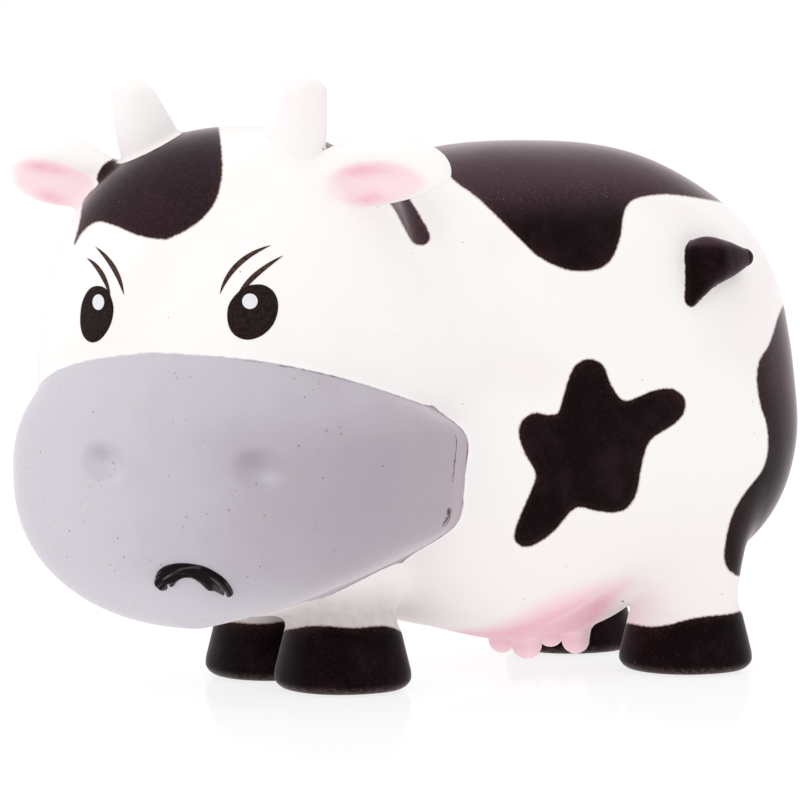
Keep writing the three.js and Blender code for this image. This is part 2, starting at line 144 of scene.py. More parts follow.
LEG_PLACES = {
    "front_left": (7.85, -22.05),
    "front_right": (-7.85, -22.05),
    "rear_left": (12.6, 22.05),
    "rear_right": (-12.6, 22.75),
}
LEG_TOP = 21.6
LEG_FULLNESS = 2.2
# Heights above the floor and the radius of a leg and its hoof there.
LEG_PROFILE = [(0, 7.35), (1.2, 7.6), (2.2, 7.5), (6.4, 6.5), (7.4, 6.05), (9, 5.85), (12, 6.3), (21.6, 8.1)]
SOLE_ROUNDING = 1.8
# How far the hoof's own piece runs on above its painted edge.
HOOF_OVERLAP = 0.4
# The painted edge of each hoof: its height, how much higher it runs on the side towards the
# camera, and how much higher towards the back.
HOOF_LINES = {
    "front_left": (6.4, 1.4, 0),
    "front_right": (5.7, 1.2, 0),
    "rear_left": (6.1, 0.8, 1.0),
    "rear_right": (8.8, 0.2, 0.9),
}
# How high the brush's two waves along each edge are, and how far from a leg's middle it is painted.
HOOF_WAVES = (0.16, 0.10)
HOOF_REACH = 10

UDDER_CENTRE = np.array([0, 9.8, 9.2])
UDDER_HALF = np.array([9, 11.5, 5.5])
# Each teat: how far to the left and back it hangs, how low its tip is and its radius there.
TEAT_PLACES = {
    "front_left": (2.65, 6.35, 1.2, 1.8),
    "front_right": (-2.65, 6.35, 1.4, 1.6),
    "rear_left": (2.65, 13.25, 1.4, 1.65),
    "rear_right": (-2.65, 13.25, 1.7, 1.55),
}
TEAT_FLARE = 0.12

# The tail's foot, elbow, tip and the lower side of its horn: behind and above the body's middle,
# off its skin, radius.
TAIL_STOPS = [(8.2, 10.5, 0, 0.9), (11.1, 14.55, 0.5, 2.65), (16.3, 14.4, 1.7, 0.9), (12.1, 14.0, 0.8, 1.95)]
TAIL_TAPERS = (1.35, 1.9, 1.2)
TAIL_BLEND = 0.7


def stance_middle():
    """The middle of the four hooves on the floor, in the row's frame, in metres."""
    corners = [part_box(f"hoof_{place}") for place in LEG_PLACES]
    middles = [(low + high) / 2 for low, high in corners]
    middle = sum(middles, Vector()) / len(middles)
    return Vector((middle.x, middle.y, 0))


ORIGIN = stance_middle()


def in_metres(points):
    """Points of the cow's frame as points of the row's frame."""
    return np.asarray(points) * MM + np.array(ORIGIN)


# The photograph's camera: how far round it stands and how high it looks from, in the cow's frame.
AZIMUTH = 58 * DEGREE
ELEVATION = 3.3 * DEGREE
DISTANCE = 540
LOOK_AT = np.array([-5.82, -5.88, 31.54])
PICTURE = 800
MM_PER_PIXEL = 0.117
SENSOR = 36
# How near the camera still sees anything, in metres.
NEAREST = 0.01

BACK = np.array(
    [
        math.sin(AZIMUTH) * math.cos(ELEVATION),
        -math.cos(AZIMUTH) * math.cos(ELEVATION),
        math.sin(ELEVATION),
    ]
)
RIGHT = np.array([math.cos(AZIMUTH), math.sin(AZIMUTH), 0])
UP = np.cross(BACK, RIGHT)
EYE_POINT = LOOK_AT + BACK * DISTANCE


def to_pixels(points):
    """Where points of the cow's frame fall in the photograph."""
    offset = points - LOOK_AT
    scale = DISTANCE / (DISTANCE - offset @ BACK) / MM_PER_PIXEL
    across = PICTURE / 2 + offset @ RIGHT * scale
    down = PICTURE / 2 - offset @ UP * scale
    return np.column_stack((across, down))


def view_rays(pixels):
    """The way from the camera through each pixel."""
    pixels = np.asarray(pixels, float)
    across = (pixels[:, 0] - PICTURE / 2) * MM_PER_PIXEL
    up = (PICTURE / 2 - pixels[:, 1]) * MM_PER_PIXEL
    rays = across[:, None] * RIGHT + up[:, None] * UP - DISTANCE * BACK
    return rays / np.linalg.norm(rays, axis=1, keepdims=True)


def add_camera():
    camera = bpy.data.objects.new("camera", bpy.data.cameras.new("camera"))
    camera.data.sensor_width = SENSOR
    camera.data.lens = SENSOR * DISTANCE / (PICTURE * MM_PER_PIXEL)
    camera.data.clip_start = NEAREST
    camera.location = in_metres(EYE_POINT)
    camera.rotation_euler = Vector(-BACK).to_track_quat("-Z", "Y").to_euler()
    bpy.context.scene.collection.objects.link(camera)
    bpy.context.scene.camera = camera


# Forms. Each field gives about how far a point is from a form's skin, less than 0 inside it.
def smoothstep(value, low, high):
    share = np.clip((value - low) / (high - low), 0, 1)
    return share * share * (3 - 2 * share)


def fade(value, low, high):
    """1 at low and 0 at high, with smooth ends."""
    return 1 - smoothstep(value, low, high)


def lengths(rows):
    return np.linalg.norm(rows, axis=1)


def soft_union(first, second, blend):
    """The nearer of two skins, with the crease between them filled over about the blend."""
    near = np.maximum(blend - np.abs(first - second), 0) / blend
    return np.minimum(first, second) - near * near * blend / 4


def soft_cut(first, second, blend):
    """The first form less the second, with the edge rounded over about the blend."""
    return -soft_union(-first, second, blend)


def superball(points, half, fullness):
    """A superellipsoid about the origin. A fullness of 2 makes an ellipsoid, and more a squarer form."""
    share = np.abs(points) / half + 1e-9
    powered = share**fullness
    total = powered.sum(1, keepdims=True)
    level = total ** (1 / fullness)
    slope = powered / share / half * level / total
    return (level[:, 0] - 1) / lengths(slope)


def turned(points, centre, angle):
    """Points seen from a frame at a centre that is turned about the upright axis."""
    offset = points - centre
    c, s = math.cos(angle), math.sin(angle)
    return np.column_stack(
        (c * offset[:, 0] + s * offset[:, 1], c * offset[:, 1] - s * offset[:, 0], offset[:, 2])
    )


def in_head(points):
    return turned(points, HEAD_CENTRE, HEAD_TURN)


def out_of_head(points):
    return turned(np.asarray(points, float), np.zeros(3), -HEAD_TURN) + HEAD_CENTRE


def body_field(points):
    local = points - BODY_CENTRE
    lift = 1 - HAUNCH_LIFT * smoothstep(local[:, 1], HAUNCH_START, HAUNCH_END)
    dip = 1 - DIP_SHARE * np.exp(-(((local[:, 1] - DIP_PLACE) / DIP_SPREAD) ** 2))
    local[:, 2] /= np.where(local[:, 2] < 0, lift, dip)
    change = smoothstep(local[:, 2], -FLANK, FLANK)[:, None]
    fullness = BELLY_FULLNESS + (BACK_FULLNESS - BELLY_FULLNESS) * change
    return superball(local, BODY_HALF, fullness)


def head_field(points):
    return superball(in_head(points), HEAD_HALF, HEAD_FULLNESS)


def in_muzzle(points):
    return turned(in_head(points), MUZZLE_PLACE, MUZZLE_TURN)


def plain_muzzle_field(points):
    """The muzzle swells towards its front and thins towards both cheeks."""
    local = in_muzzle(points)
    left = smoothstep(local[:, 0], -MUZZLE_CHANGE, MUZZLE_CHANGE)
    wide = MUZZLE_RIGHT + (MUZZLE_LEFT - MUZZLE_RIGHT) * left
    forward = np.clip(-local[:, 1] / MUZZLE_DEPTH, -MUZZLE_REACH, MUZZLE_REACH)
    outward = np.clip(local[:, 0] / wide, -MUZZLE_REACH, MUZZLE_REACH)
    leftward = np.maximum(outward, 0)
    rightward = (1 - left) * outward**2
    top_thin = RIGHT_THIN_TOP * rightward + LEFT_TAPER_TOP * leftward
    bottom_thin = RIGHT_THIN_BOTTOM * rightward + LEFT_TAPER_BOTTOM * leftward
    top = MUZZLE_TOP * (1 + SWELL_TOP * forward) * (1 - top_thin)
    bottom = MUZZLE_BOTTOM * (1 + SWELL_BOTTOM * forward) * (1 - bottom_thin)
    tall = np.where(local[:, 2] > 0, top, bottom)
    half = np.array([MUZZLE_RIGHT, MUZZLE_DEPTH, MUZZLE_TOP])
    even = local * np.column_stack((MUZZLE_RIGHT / wide, np.ones(len(wide)), MUZZLE_TOP / tall))
    whole = superball(even, half, MUZZLE_FULLNESS)
    beyond = local[:, 0] - LEFT_END - LEFT_END_SLANT * local[:, 2]
    return soft_cut(whole, -beyond, LEFT_END_ROUNDING)


def gradient(field, points, reach=0.1):
    """The way out of a field's form at each point, of unit length."""
    columns = []
    for axis in np.eye(3) * reach:
        columns.append(field(points + axis) - field(points - axis))
    slope = np.column_stack(columns)
    return slope / (np.linalg.norm(slope, axis=1, keepdims=True) + 1e-12)


def onto(field, points, steps, limit=1.0):
    """Points moved along the field's slope until they lie on its skin."""
    for _ in range(steps):
        distance = np.clip(field(points), -limit, limit)
        points = points - gradient(field, points) * distance[:, None]
    return points


def nostril_frames():
    """Each nostril's place on the muzzle, and its three axes: across, up and out."""
    frames = []
    for across, up in NOSTRIL_PLACES:
        start = out_of_head([[across, -MUZZLE_DEPTH - 1, up]])
        place = onto(plain_muzzle_field, start, steps=8)
        out = gradient(plain_muzzle_field, place)[0]
        level = np.cross([0, 0, 1.0], out)
        level /= np.linalg.norm(level)
        frames.append((place[0], np.array([level, np.cross(out, level), out])))
    return frames


NOSTRILS = nostril_frames()


def muzzle_field(points):
    field = plain_muzzle_field(points)
    for place, axes in NOSTRILS:
        dimple = superball((points - place) @ axes.T, NOSTRIL_HALF, 2)
        field = soft_cut(field, dimple, NOSTRIL_BLEND)
    return field


def in_ear(side_name, points):
    """Points seen from the middle of an ear's leaf, with x running out to its tip."""
    mirror = np.array([SIDES[side_name], 1, 1])
    half = EAR_HALVES[side_name]
    local = (in_head(points) - EAR_ROOT * mirror) * mirror - [half[0], 0, 0]
    share, slope = EAR_LOWERS[side_name]
    outward = local[:, 0] / half[0]
    lower = share - slope * np.clip(outward, -1, 1)
    inward = (np.sqrt(outward**2 + SHOULDER_SOFTNESS) - np.clip(outward, -SHOULDER_END, None)) / 2
    upper = 1 - EAR_SHOULDERS[side_name] * np.clip(inward, 0, SHOULDER_END)
    local[:, 2] /= np.where(local[:, 2] < 0, lower, upper)
    return local


def in_dish(side_name, local):
    """Points of an ear's frame, seen from the middle of its dish."""
    offset = local - DISH_MIDDLES[side_name]
    offset[:, 2] -= DISH_SLOPES[side_name] * offset[:, 0]
    return offset


def ear_field(side_name):
    half = EAR_HALVES[side_name]
    dish_half = np.array([half[0] - DISH_RIMS[side_name], DISH_DEPTH, DISH_HEIGHT])

    def field(points):
        local = in_ear(side_name, points)
        dish = superball(in_dish(side_name, local) + [0, half[1], 0], dish_half, 2)
        return soft_cut(superball(local, half, EAR_FULLNESS), dish, DISH_BLEND)

    return field


def horn_field(side_name):
    side = SIDES[side_name]
    root_radius, tip_radius = HORN_RADII[side_name]
    ahead = (math.cos(HORN_LEAN_AHEAD), math.sin(HORN_LEAN_AHEAD))
    lean_out = HORN_LEAN_OUT[side_name]
    out = (math.cos(lean_out), math.sin(lean_out) * side)
    tilt_ahead = np.array([[1, 0, 0], [0, ahead[0], -ahead[1]], [0, ahead[1], ahead[0]]])
    tilt_out = np.array([[out[0], 0, out[1]], [0, 1, 0], [-out[1], 0, out[0]]])
    tilt = tilt_ahead @ tilt_out
    straight = HORN_LENGTH - tip_radius

    def field(points):
        upright = in_head(points)
        local = (upright - HORN_ROOT * [side, 1, 1]) @ tilt
        height = np.clip(local[:, 2], 0, straight)
        curl = -side * HORN_CURLS[side_name] * (height / HORN_LENGTH) ** 2
        radius = root_radius + (tip_radius - root_radius) * (height / straight) ** HORN_TAPER
        middle = np.column_stack((curl, np.zeros(len(points)), height))
        whole = lengths(local - middle) - radius
        return soft_cut(whole, HORN_TOP - upright[:, 2], HORN_TOP_ROUNDING)

    return field


def leg_field(place):
    heights, radii = zip(*LEG_PROFILE)

    def field(points):
        across = np.abs(points[:, 0] - place[0])
        along = np.abs(points[:, 1] - place[1])
        round_share = (across**LEG_FULLNESS + along**LEG_FULLNESS) ** (1 / LEG_FULLNESS)
        column = round_share - np.interp(points[:, 2], heights, radii)
        column = np.maximum(column, points[:, 2] - LEG_TOP)
        return soft_cut(column, points[:, 2], SOLE_ROUNDING)

    return field


def udder_field(points):
    return superball(points - UDDER_CENTRE, UDDER_HALF, 2)


def teat_field(across, along, tip, radius):
    def field(points):
        height = np.clip(points[:, 2], tip + radius, UDDER_CENTRE[2])
        middle = np.column_stack((np.full(len(points), across), np.full(len(points), along), height))
        flare = TEAT_FLARE * (height - tip - radius)
        return lengths(points - middle) - radius - flare

    return field


def tail_middles():
    """The middles of the tail's foot, elbow, tip and lower side, each a little off the body's skin."""
    middles = []
    for behind, above, off, _radius in TAIL_STOPS:
        start = np.array([BODY_CENTRE + [BODY_HALF[0], behind, above]])
        for _ in range(20):
            start[:, 0] -= body_field(start)
        middles.append((start + gradient(body_field, start) * off)[0])
    return middles


TAIL_MIDDLES = tail_middles()


def limb(points, start, end, start_radius, end_radius, taper):
    """A round limb that keeps its girth longer and thins later the larger the taper."""
    along = end - start
    share = np.clip((points - start) @ along / (along @ along), 0, 1)
    radius = end_radius + (start_radius - end_radius) * (1 - share**taper)
    return lengths(points - start - share[:, None] * along) - radius


def tail_field(points):
    """A short root that rises to the elbow, and a broad blunt horn that points back from it."""
    foot, elbow, tip, lower = TAIL_MIDDLES
    foot_radius, elbow_radius, tip_radius, lower_radius = (stop[3] for stop in TAIL_STOPS)
    root = limb(points, elbow, foot, elbow_radius, foot_radius, TAIL_TAPERS[0])
    horn = limb(points, elbow, tip, elbow_radius, tip_radius, TAIL_TAPERS[1])
    under = limb(points, lower, tip, lower_radius, tip_radius, TAIL_TAPERS[2])
    return soft_union(root, soft_union(horn, under, TAIL_BLEND), TAIL_BLEND)


# How far beyond its box a form is worked out, and the distance given to points beyond that.
NEARBY = 4.0
FAR = 50.0

# How widely the crease where each form joins the others is filled.
CREASES = {
    "body": 1.0,
    "head": 2.2,
    "udder": 5.0,
    "front leg": 2.5,
    "rear leg": 1.4,
    "ear": 1.4,
    "horn": 0.7,
    "teat": 0.8,
    "tail": 0.25,
    "muzzle": 0.6,
}
# Boxes around the forms: the middle's place, or its height alone for a leg or teat, and half the
# size. An ear's box holds its horn too, and lies in the head's frame.
HEAD_BOX = (HEAD_CENTRE - [0, 0, 5], [28, 28, 33])
LEG_BOX = (10, [8.5, 8.5, 12])
EAR_BOX = ([17, -6, 27], [13, 13, 9])
TEAT_BOX = (6, [3, 3, 6])

# Every form of the skin: its field, its crease, and the corners between which it is worked out.
FORMS = {}


def add_form(name, field, crease, centre, half):
    centre, half = np.array(centre, float), np.array(half, float)
    FORMS[name] = (field, CREASES[crease], centre - half - NEARBY, centre + half + NEARBY)


add_form("body", body_field, "body", BODY_CENTRE, BODY_HALF)
add_form("head", head_field, "head", *HEAD_BOX)
add_form("udder", udder_field, "udder", UDDER_CENTRE, UDDER_HALF)
for place, middle in LEG_PLACES.items():
    crease = f"{place.split('_')[0]} leg"
    add_form(f"leg_{place}", leg_field(middle), crease, [*middle, LEG_BOX[0]], LEG_BOX[1])
for side_name, side in SIDES.items():
    centre = out_of_head([EAR_BOX[0] * np.array([side, 1, 1])])[0]
    add_form(f"ear_{side_name}", ear_field(side_name), "ear", centre, EAR_BOX[1])
    add_form(f"horn_{side_name}", horn_field(side_name), "horn", centre, EAR_BOX[1])
for place, size in TEAT_PLACES.items():
    add_form(f"teat_{place}", teat_field(*size), "teat", [*size[:2], TEAT_BOX[0]], TEAT_BOX[1])
tail_low, tail_high = np.min(TAIL_MIDDLES, axis=0), np.max(TAIL_MIDDLES, axis=0)
tail_half = (tail_high - tail_low) / 2 + max(stop[3] for stop in TAIL_STOPS)
add_form("tail", tail_field, "tail", (tail_low + tail_high) / 2, tail_half)
add_form("muzzle", muzzle_field, "muzzle", *HEAD_BOX)


def near_form(name, points):
    """Which points are near a form, and how far those are from it."""
    field, _blend, low, high = FORMS[name]
    near = ((points > low) & (points < high)).all(1)
    return near, field(points[near])


def form_distances(points):
    """The distance from each form, or a large number where the form is nowhere near."""
    distances = {name: np.full(len(points), FAR) for name in FORMS}
    for name, values in distances.items():
        near, nearby = near_form(name, points)
        values[near] = nearby
    return distances


def whole_field(points):
    """The skin of the whole toy."""
    total = np.full(len(points), FAR)
    for name, (_field, blend, _low, _high) in FORMS.items():
        near, nearby = near_form(name, points)
        total[near] = soft_union(total[near], nearby, blend)
    return total


# The skin as a mesh, drawn through a grid of distances.
def grid_values(low, step, counts):
    """The whole field at the grid's corners."""
    axes = [low[axis] + step * np.arange(counts[axis]) for axis in range(3)]
    values = np.full(counts, FAR)
    for field, blend, first, last in FORMS.values():
        slices = tuple(
            slice(*np.searchsorted(axes[axis], [first[axis], last[axis]])) for axis in range(3)
        )
        mesh = np.meshgrid(*(axes[axis][slices[axis]] for axis in range(3)), indexing="ij")
        points = np.column_stack([part.ravel() for part in mesh])
        part_values = field(points).reshape(mesh[0].shape)
        values[slices] = soft_union(values[slices], part_values, blend)
    return values


CORNERS = np.array([(a, b, c) for a in (0, 1) for b in (0, 1) for c in (0, 1)])
EDGES = [(i, j) for i in range(8) for j in range(i) if np.abs(CORNERS[i] - CORNERS[j]).sum() == 1]


def drawn_skin():
    """Points and four-sided faces of the whole toy's skin: one point in each cell it passes through."""
    counts = np.ceil((GRID_HIGH - GRID_LOW) / GRID_STEP).astype(int)
    values = grid_values(GRID_LOW, GRID_STEP, counts)
    inside = values < 0
    cell_counts = counts - 1

    def corner(array, offset):
        a, b, c = offset
        return array[a : a + cell_counts[0], b : b + cell_counts[1], c : c + cell_counts[2]]

    filled = sum(corner(inside, offset).astype(np.int8) for offset in CORNERS)
    cells = np.argwhere((filled > 0) & (filled < 8))
    index = np.full(cell_counts, -1)
    index[tuple(cells.T)] = np.arange(len(cells))
    cell_values = np.column_stack([corner(values, offset)[tuple(cells.T)] for offset in CORNERS])
    total = np.zeros((len(cells), 3))
    hits = np.zeros(len(cells))
    for i, j in EDGES:
        first, second = cell_values[:, i], cell_values[:, j]
        crossed = (first < 0) != (second < 0)
        share = np.where(crossed, first / np.where(crossed, first - second, 1), 0)[:, None]
        total += np.where(crossed[:, None], CORNERS[i] + share * (CORNERS[j] - CORNERS[i]), 0)
        hits += crossed
    points = GRID_LOW + GRID_STEP * (cells + total / hits[:, None])

    faces = []
    for axis in range(3):
        step = np.zeros(3, int)
        step[axis] = 1
        second, third = np.roll(step, 1), np.roll(step, 2)
        near = inside[1:-1, 1:-1, 1:-1]
        far = inside[1 + step[0] :, 1 + step[1] :, 1 + step[2] :]
        far = far[: near.shape[0], : near.shape[1], : near.shape[2]]
        near = near[: far.shape[0], : far.shape[1], : far.shape[2]]
        edges = np.argwhere(near != far) + 1
        outward = inside[tuple(edges.T)]
        ring = [edges - second - third, edges - third, edges, edges - second]
        quads = np.column_stack([index[tuple(cell.T)] for cell in ring])
        faces.append(np.where(outward[:, None], quads, quads[:, ::-1]))
    faces = np.concatenate(faces)
    return relaxed(points, faces), faces


def edge_pairs(faces):
    """Both ends of each face's edges, in the order in which the face runs round."""
    count = faces.shape[1]
    return np.concatenate([faces[:, [i, (i + 1) % count]] for i in range(count)])


def open_edges(faces):
    """The edges that only one face has."""
    pairs = set(map(tuple, edge_pairs(faces).tolist()))
    return sorted((a, b) for a, b in pairs if (b, a) not in pairs)


def relaxed(points, faces):
    """Points evened out among their neighbours and put back on the skin."""
    pairs = edge_pairs(faces)
    counts = np.bincount(pairs[:, 0], minlength=len(points))[:, None]
    for _ in range(EVENING_ROUNDS):
        total = np.zeros_like(points)
        for axis in range(3):
            total[:, axis] = np.bincount(
                pairs[:, 0], weights=points[pairs[:, 1], axis], minlength=len(points)
            )
        points = 0.5 * points + 0.5 * total / counts
        points = onto(whole_field, points, steps=1, limit=GRID_STEP)
    return onto(whole_field, points, steps=3, limit=GRID_STEP)


# Paint. Each patch's outline is read off the photograph, in pixels, and falls on the toy as a
# stencil held up to the camera would.
HEAD_PATCH = [
    (120, 120), (150, 80), (210, 80), (218, 125), (222, 170), (215, 201), (198, 222), (172, 237),
    (160, 239), (138, 235), (119, 227), (103, 221.5), (94, 222.5), (86, 228), (80, 235), (74.5, 244),
    (78, 230), (81, 216), (83, 202), (88, 186), (95, 172), (110, 160),
]
EAR_CRESCENT = [(120, 158), (106, 163), (98, 174), (99, 184), (110, 188), (124, 178), (130, 162)]
NECK_STRIPE = [
    (316, 130), (334, 132), (350, 150), (395, 180), (410, 200), (422, 220), (429.5, 235), (427, 243),
    (420, 245), (412, 241), (404, 227), (390, 203), (364, 182), (330, 152),
]
BACK_PATCH = [
    (380, 60), (405, 110), (430, 150), (452, 178), (477, 197), (501, 220), (520, 239), (538, 256),
    (562, 268), (581, 271), (600, 268), (612, 258), (620, 237), (623, 216), (628, 204), (640, 197),
    (666, 194), (694, 197), (723, 202), (760, 208), (800, 190), (790, 130), (700, 60), (540, 40),
]
STAR_PATCH = [
    (572, 371), (582, 361), (594, 360), (604, 367), (611, 385), (621, 399), (631, 400), (653, 391),
    (672, 389), (684, 398), (684, 412), (674, 424), (655, 436), (647, 446), (641, 467), (637, 491),
    (629, 506), (617, 512), (598, 511), (580, 507), (570, 512), (555, 530), (539, 542), (525, 547),
    (515, 540), (516, 528), (523, 510), (535, 481), (535, 471), (525, 453), (519, 434), (523, 420),
    (535, 413), (547, 415), (558, 413), (564, 395),
]
RUMP_PATCH = [
    (785, 303), (770, 343), (760, 360), (757, 378), (760, 402), (767, 426), (768, 451), (762, 471),
    (745, 493), (733, 514), (726, 540), (725, 561), (733, 573), (752, 575), (830, 560), (880, 420),
    (850, 300), (810, 290),
]
PATCHES = [HEAD_PATCH, EAR_CRESCENT, NECK_STRIPE, BACK_PATCH, STAR_PATCH, RUMP_PATCH]

# Round blots that carry the patches on over the side that the photograph hides: place and radius.
FAR_BLOTS = [
    ((-6, 8, 64), 12),
    ((-13, 20, 58), 10),
    ((-16, 2, 58), 8),
    ((-22, 12, 50), 7),
    ((-24, -2, 30), 8),
    ((-25, 8, 24), 7),
    ((-20, 30, 34), 8.5),
    ((-10, 42, 36), 9),
    ((-2, 43, 24), 7),
    ((8, 42, 30), 9),
    ((12, 38, 40), 7),
    ((-22, -30, 52), 8),
    ((-17, -22, 58), 7.5),
]
# How fast the stencil's patches end and the far blots begin beyond the edge that the camera sees,
# in mm for each part of a turn away, how widely the two are blended, and the blots with each other.
SEEN_FADE = 26
FAR_FADE = 40
FAR_START = 0.08
FAR_BLEND = 6
LEAST_BLEND = 0.01
BLOT_BLEND = 5

# How far the black paint keeps from the horns' roots and the ears, and the hooves' from the body.
HORN_CLEARANCE = 0.4
EAR_CLEARANCE = 0.9
HOOF_OVERRUN = 0.6


def outline_curve(corners, steps=6):
    """A smooth closed curve through an outline's corners, in so many steps from each to the next."""
    corners = np.asarray(corners, float)
    before, after, beyond = np.roll(corners, 1, 0), np.roll(corners, -1, 0), np.roll(corners, -2, 0)
    rows = []
    for t in np.arange(steps) / steps:
        row = 2 * corners + (after - before) * t
        row = row + (2 * before - 5 * corners + 4 * after - beyond) * t**2
        row = row + (3 * corners - before - 3 * after + beyond) * t**3
        rows.append(0.5 * row)
    return np.stack(rows, 1).reshape(-1, 2)


def outline_distance(points, curve):
    """How far points of a plane lie outside a closed curve, less than 0 inside it."""
    starts, ends = curve, np.roll(curve, -1, 0)
    nearest = np.full(len(points), 1e6)
    crossings = np.zeros(len(points), int)
    for start, end in zip(starts, ends):
        along = end - start
        share = np.clip((points - start) @ along / max(along @ along, 1e-9), 0, 1)
        nearest = np.minimum(nearest, ((points - start - share[:, None] * along) ** 2).sum(1))
        spans = (start[1] > points[:, 1]) != (end[1] > points[:, 1])
        rise = (points[:, 1] - start[1]) / (end[1] - start[1] + 1e-12)
        crossings += spans & (points[:, 0] < start[0] + rise * along[0])
    return np.sqrt(nearest) * np.where(crossings % 2, -1, 1)


def stencil(pixels, corners):
    """How far pixels lie outside a patch of the photograph, in mm on the toy."""
    return outline_distance(pixels, outline_curve(corners)) * MM_PER_PIXEL


def patch_distance(points, out):
    """How far each point of the skin lies outside the black patches, in mm."""
    pixels = to_pixels(points)
    to_camera = out @ BACK
    hidden = np.maximum(-to_camera, 0)
    seen = np.min([stencil(pixels, corners) for corners in PATCHES], axis=0)
    seen += SEEN_FADE * hidden
    far = np.full(len(points), FAR)
    for place, radius in FAR_BLOTS:
        far = soft_union(far, lengths(points - np.array(place)) - radius, BLOT_BLEND)
    far += FAR_FADE * np.maximum(FAR_START - hidden, 0)
    blend = FAR_BLEND * smoothstep(hidden, 0, FAR_START) + LEAST_BLEND
    return soft_union(seen, far, blend)


def paint_masks(points, out, distances):
    """The painted areas at each point of the skin, as distances in mm or shares of 1."""
    names = list(distances)
    stack = np.column_stack([distances[name] for name in names])

    def apart(*starts):
        chosen = np.array([name.startswith(starts) for name in names])
        return stack[:, chosen].min(1) - stack[:, ~chosen].min(1)

    grey = apart("muzzle")
    bare = np.minimum(apart("udder", "teat"), grey)
    crescent = stencil(to_pixels(points), EAR_CRESCENT)
    patches = patch_distance(points, out)
    patches = np.maximum(patches, -np.maximum(bare, -FAR))
    patches = np.maximum(patches, HORN_CLEARANCE - np.maximum(apart("horn"), -FAR))
    patches = np.maximum(patches, np.minimum(EAR_CLEARANCE - apart("ear"), crescent))
    hooves = np.maximum(hoof_line(points), apart("leg") - HOOF_OVERRUN)
    black = np.minimum(np.minimum(patches, hooves), apart("tail"))
    return {
        "black": black,
        "grey": grey,
        "pink": pink_share(points, distances),
        "shade": muzzle_shade(points),
        "painted_leg_shade": painted_leg_shade_share(points, distances),
        "dust_and_sheen": dust_and_sheen_share(points, out, distances),
        "leftward": in_muzzle(points)[:, 0],
        "backward": in_muzzle(points)[:, 1],
    }


def hoof_line(points):
    """How far points lie above the hand-painted upper edge of the hooves."""
    best = np.full(len(points), FAR)
    for number, (place, (height, near, behind)) in enumerate(HOOF_LINES.items()):
        offset = points[:, :2] - np.array(LEG_PLACES[place])
        angle = np.arctan2(offset[:, 1], offset[:, 0])
        broad, narrow = HOOF_WAVES
        wave = broad * np.sin(angle * 3 + number) + narrow * np.sin(angle * 5 + 2 * number)
        wave += near * np.cos(angle - AZIMUTH + math.pi / 2) + behind * np.sin(angle)
        line = points[:, 2] - height - wave
        best = np.where(lengths(offset) < HOOF_REACH, np.minimum(best, line), best)
    return best


# Where the painted shade that the muzzle casts on the front legs fades: above the hooves and off the legs,
# in mm.
LEG_SHADE_ABOVE_HOOF = (1, 6)
LEG_SHADE_OFF_LEG = (0.3, 2.5)

# How thick the film of dust and painted sheen lies next to the back's, how far a place turns up, back
# or to the camera where it starts and is full, and the same for its height on the rump and its distance off
# the head, in mm.
RUMP_DUST_AND_SHEEN = 0.6
NECK_DUST_AND_SHEEN = 0.75
HEAD_DUST_AND_SHEEN = 0.3
BACK_TURN = (0.5, 0.85)
RUMP_TURN = (0.1, 0.6)
NECK_TURN = (0, 0.2)
RUMP_HEIGHTS = (22, 36)
OFF_HEAD = (0.5, 4)

# The reddish blush on the head beside the left ear, partly airbrushed pink and partly painted shade in
# the crease below its root: its place in the photograph's pixels, its strength, and how far off the
# head's own skin it still shows, in mm.
BLUSH_PLACE = (334, 190)
BLUSH_SIZE = 13
BLUSH_PINK = 0.2
BLUSH_OFF_HEAD = 0.6

# The pink in an ear's dish: where it fades as a share of the dish, its ground, and the rose band
# above and spot below, each with its strength, how far up it lies, its half width and half height.
# The last two say how far ahead in the ear and how far off it the pink starts and ends, in mm.
DISH_FADE = (0.72, 1.12)
DISH_PINK = 0.36
ROSE_BAND = (0.42, 1.7, 3.6, 0.8)
ROSE_SPOT = (0.4, -1.7, 2.0, 0.9)
EAR_FRONT = (-0.9, 0.5)
OFF_EAR = (0.2, 2.4)

# The pink on the belly: its strength, half its size across and along, its middle's place along, how
# much it rises backwards, and where it fades over its size, over its height and off the legs.
BELLY_PINK = 0.9
BELLY_PINK_HALF = (26, 13)
BELLY_PINK_PLACE = 6
BELLY_PINK_RISE = 0.06
BELLY_PINK_FADE = (0.5, 1.05)
BELLY_PINK_HEIGHTS = (7.4, 13.4)
BELLY_PINK_OFF_LEG = (0.2, 4.5)
# How much paler the teats are than the udder, and from which depth under their skin to above it.
TEAT_PALER = 0.5
TEAT_DEPTHS = (-1.2, 0.3)

# The muzzle's darker left side, partly its own tone and partly painted shade: where across it starts
# and how wide it grows to full, and how much lighter, as painted light from above and from the floor,
# and between which heights above and below the muzzle's middle its upper and lower sides are.
SHADE_START = -9
SHADE_WIDTH = 32
UPPER_PAINTED_LIGHT = (0.35, 2, 10)
LOWER_PAINTED_LIGHT = (0.35, 9, 16)
# The painted shade in each nostril's upper right and the painted highlight on its lower left:
# strength, how far across and up it lies, half width and half height.
NOSTRIL_PAINTED_SHADE = (0.42, -1.0, 0.9, 1.3, 0.9)
NOSTRIL_PAINTED_HIGHLIGHT = (-0.42, 1.2, -1.1, 1.3, 0.8)


def painted_leg_shade_share(points, distances):
    """How much painted shade, standing for the muzzle's shadow, lies on each point of the front legs: most
    just above the hooves.
    """
    leg = np.minimum(distances["leg_front_left"], distances["leg_front_right"])
    return fade(hoof_line(points), *LEG_SHADE_ABOVE_HOOF) * fade(leg, *LEG_SHADE_OFF_LEG)


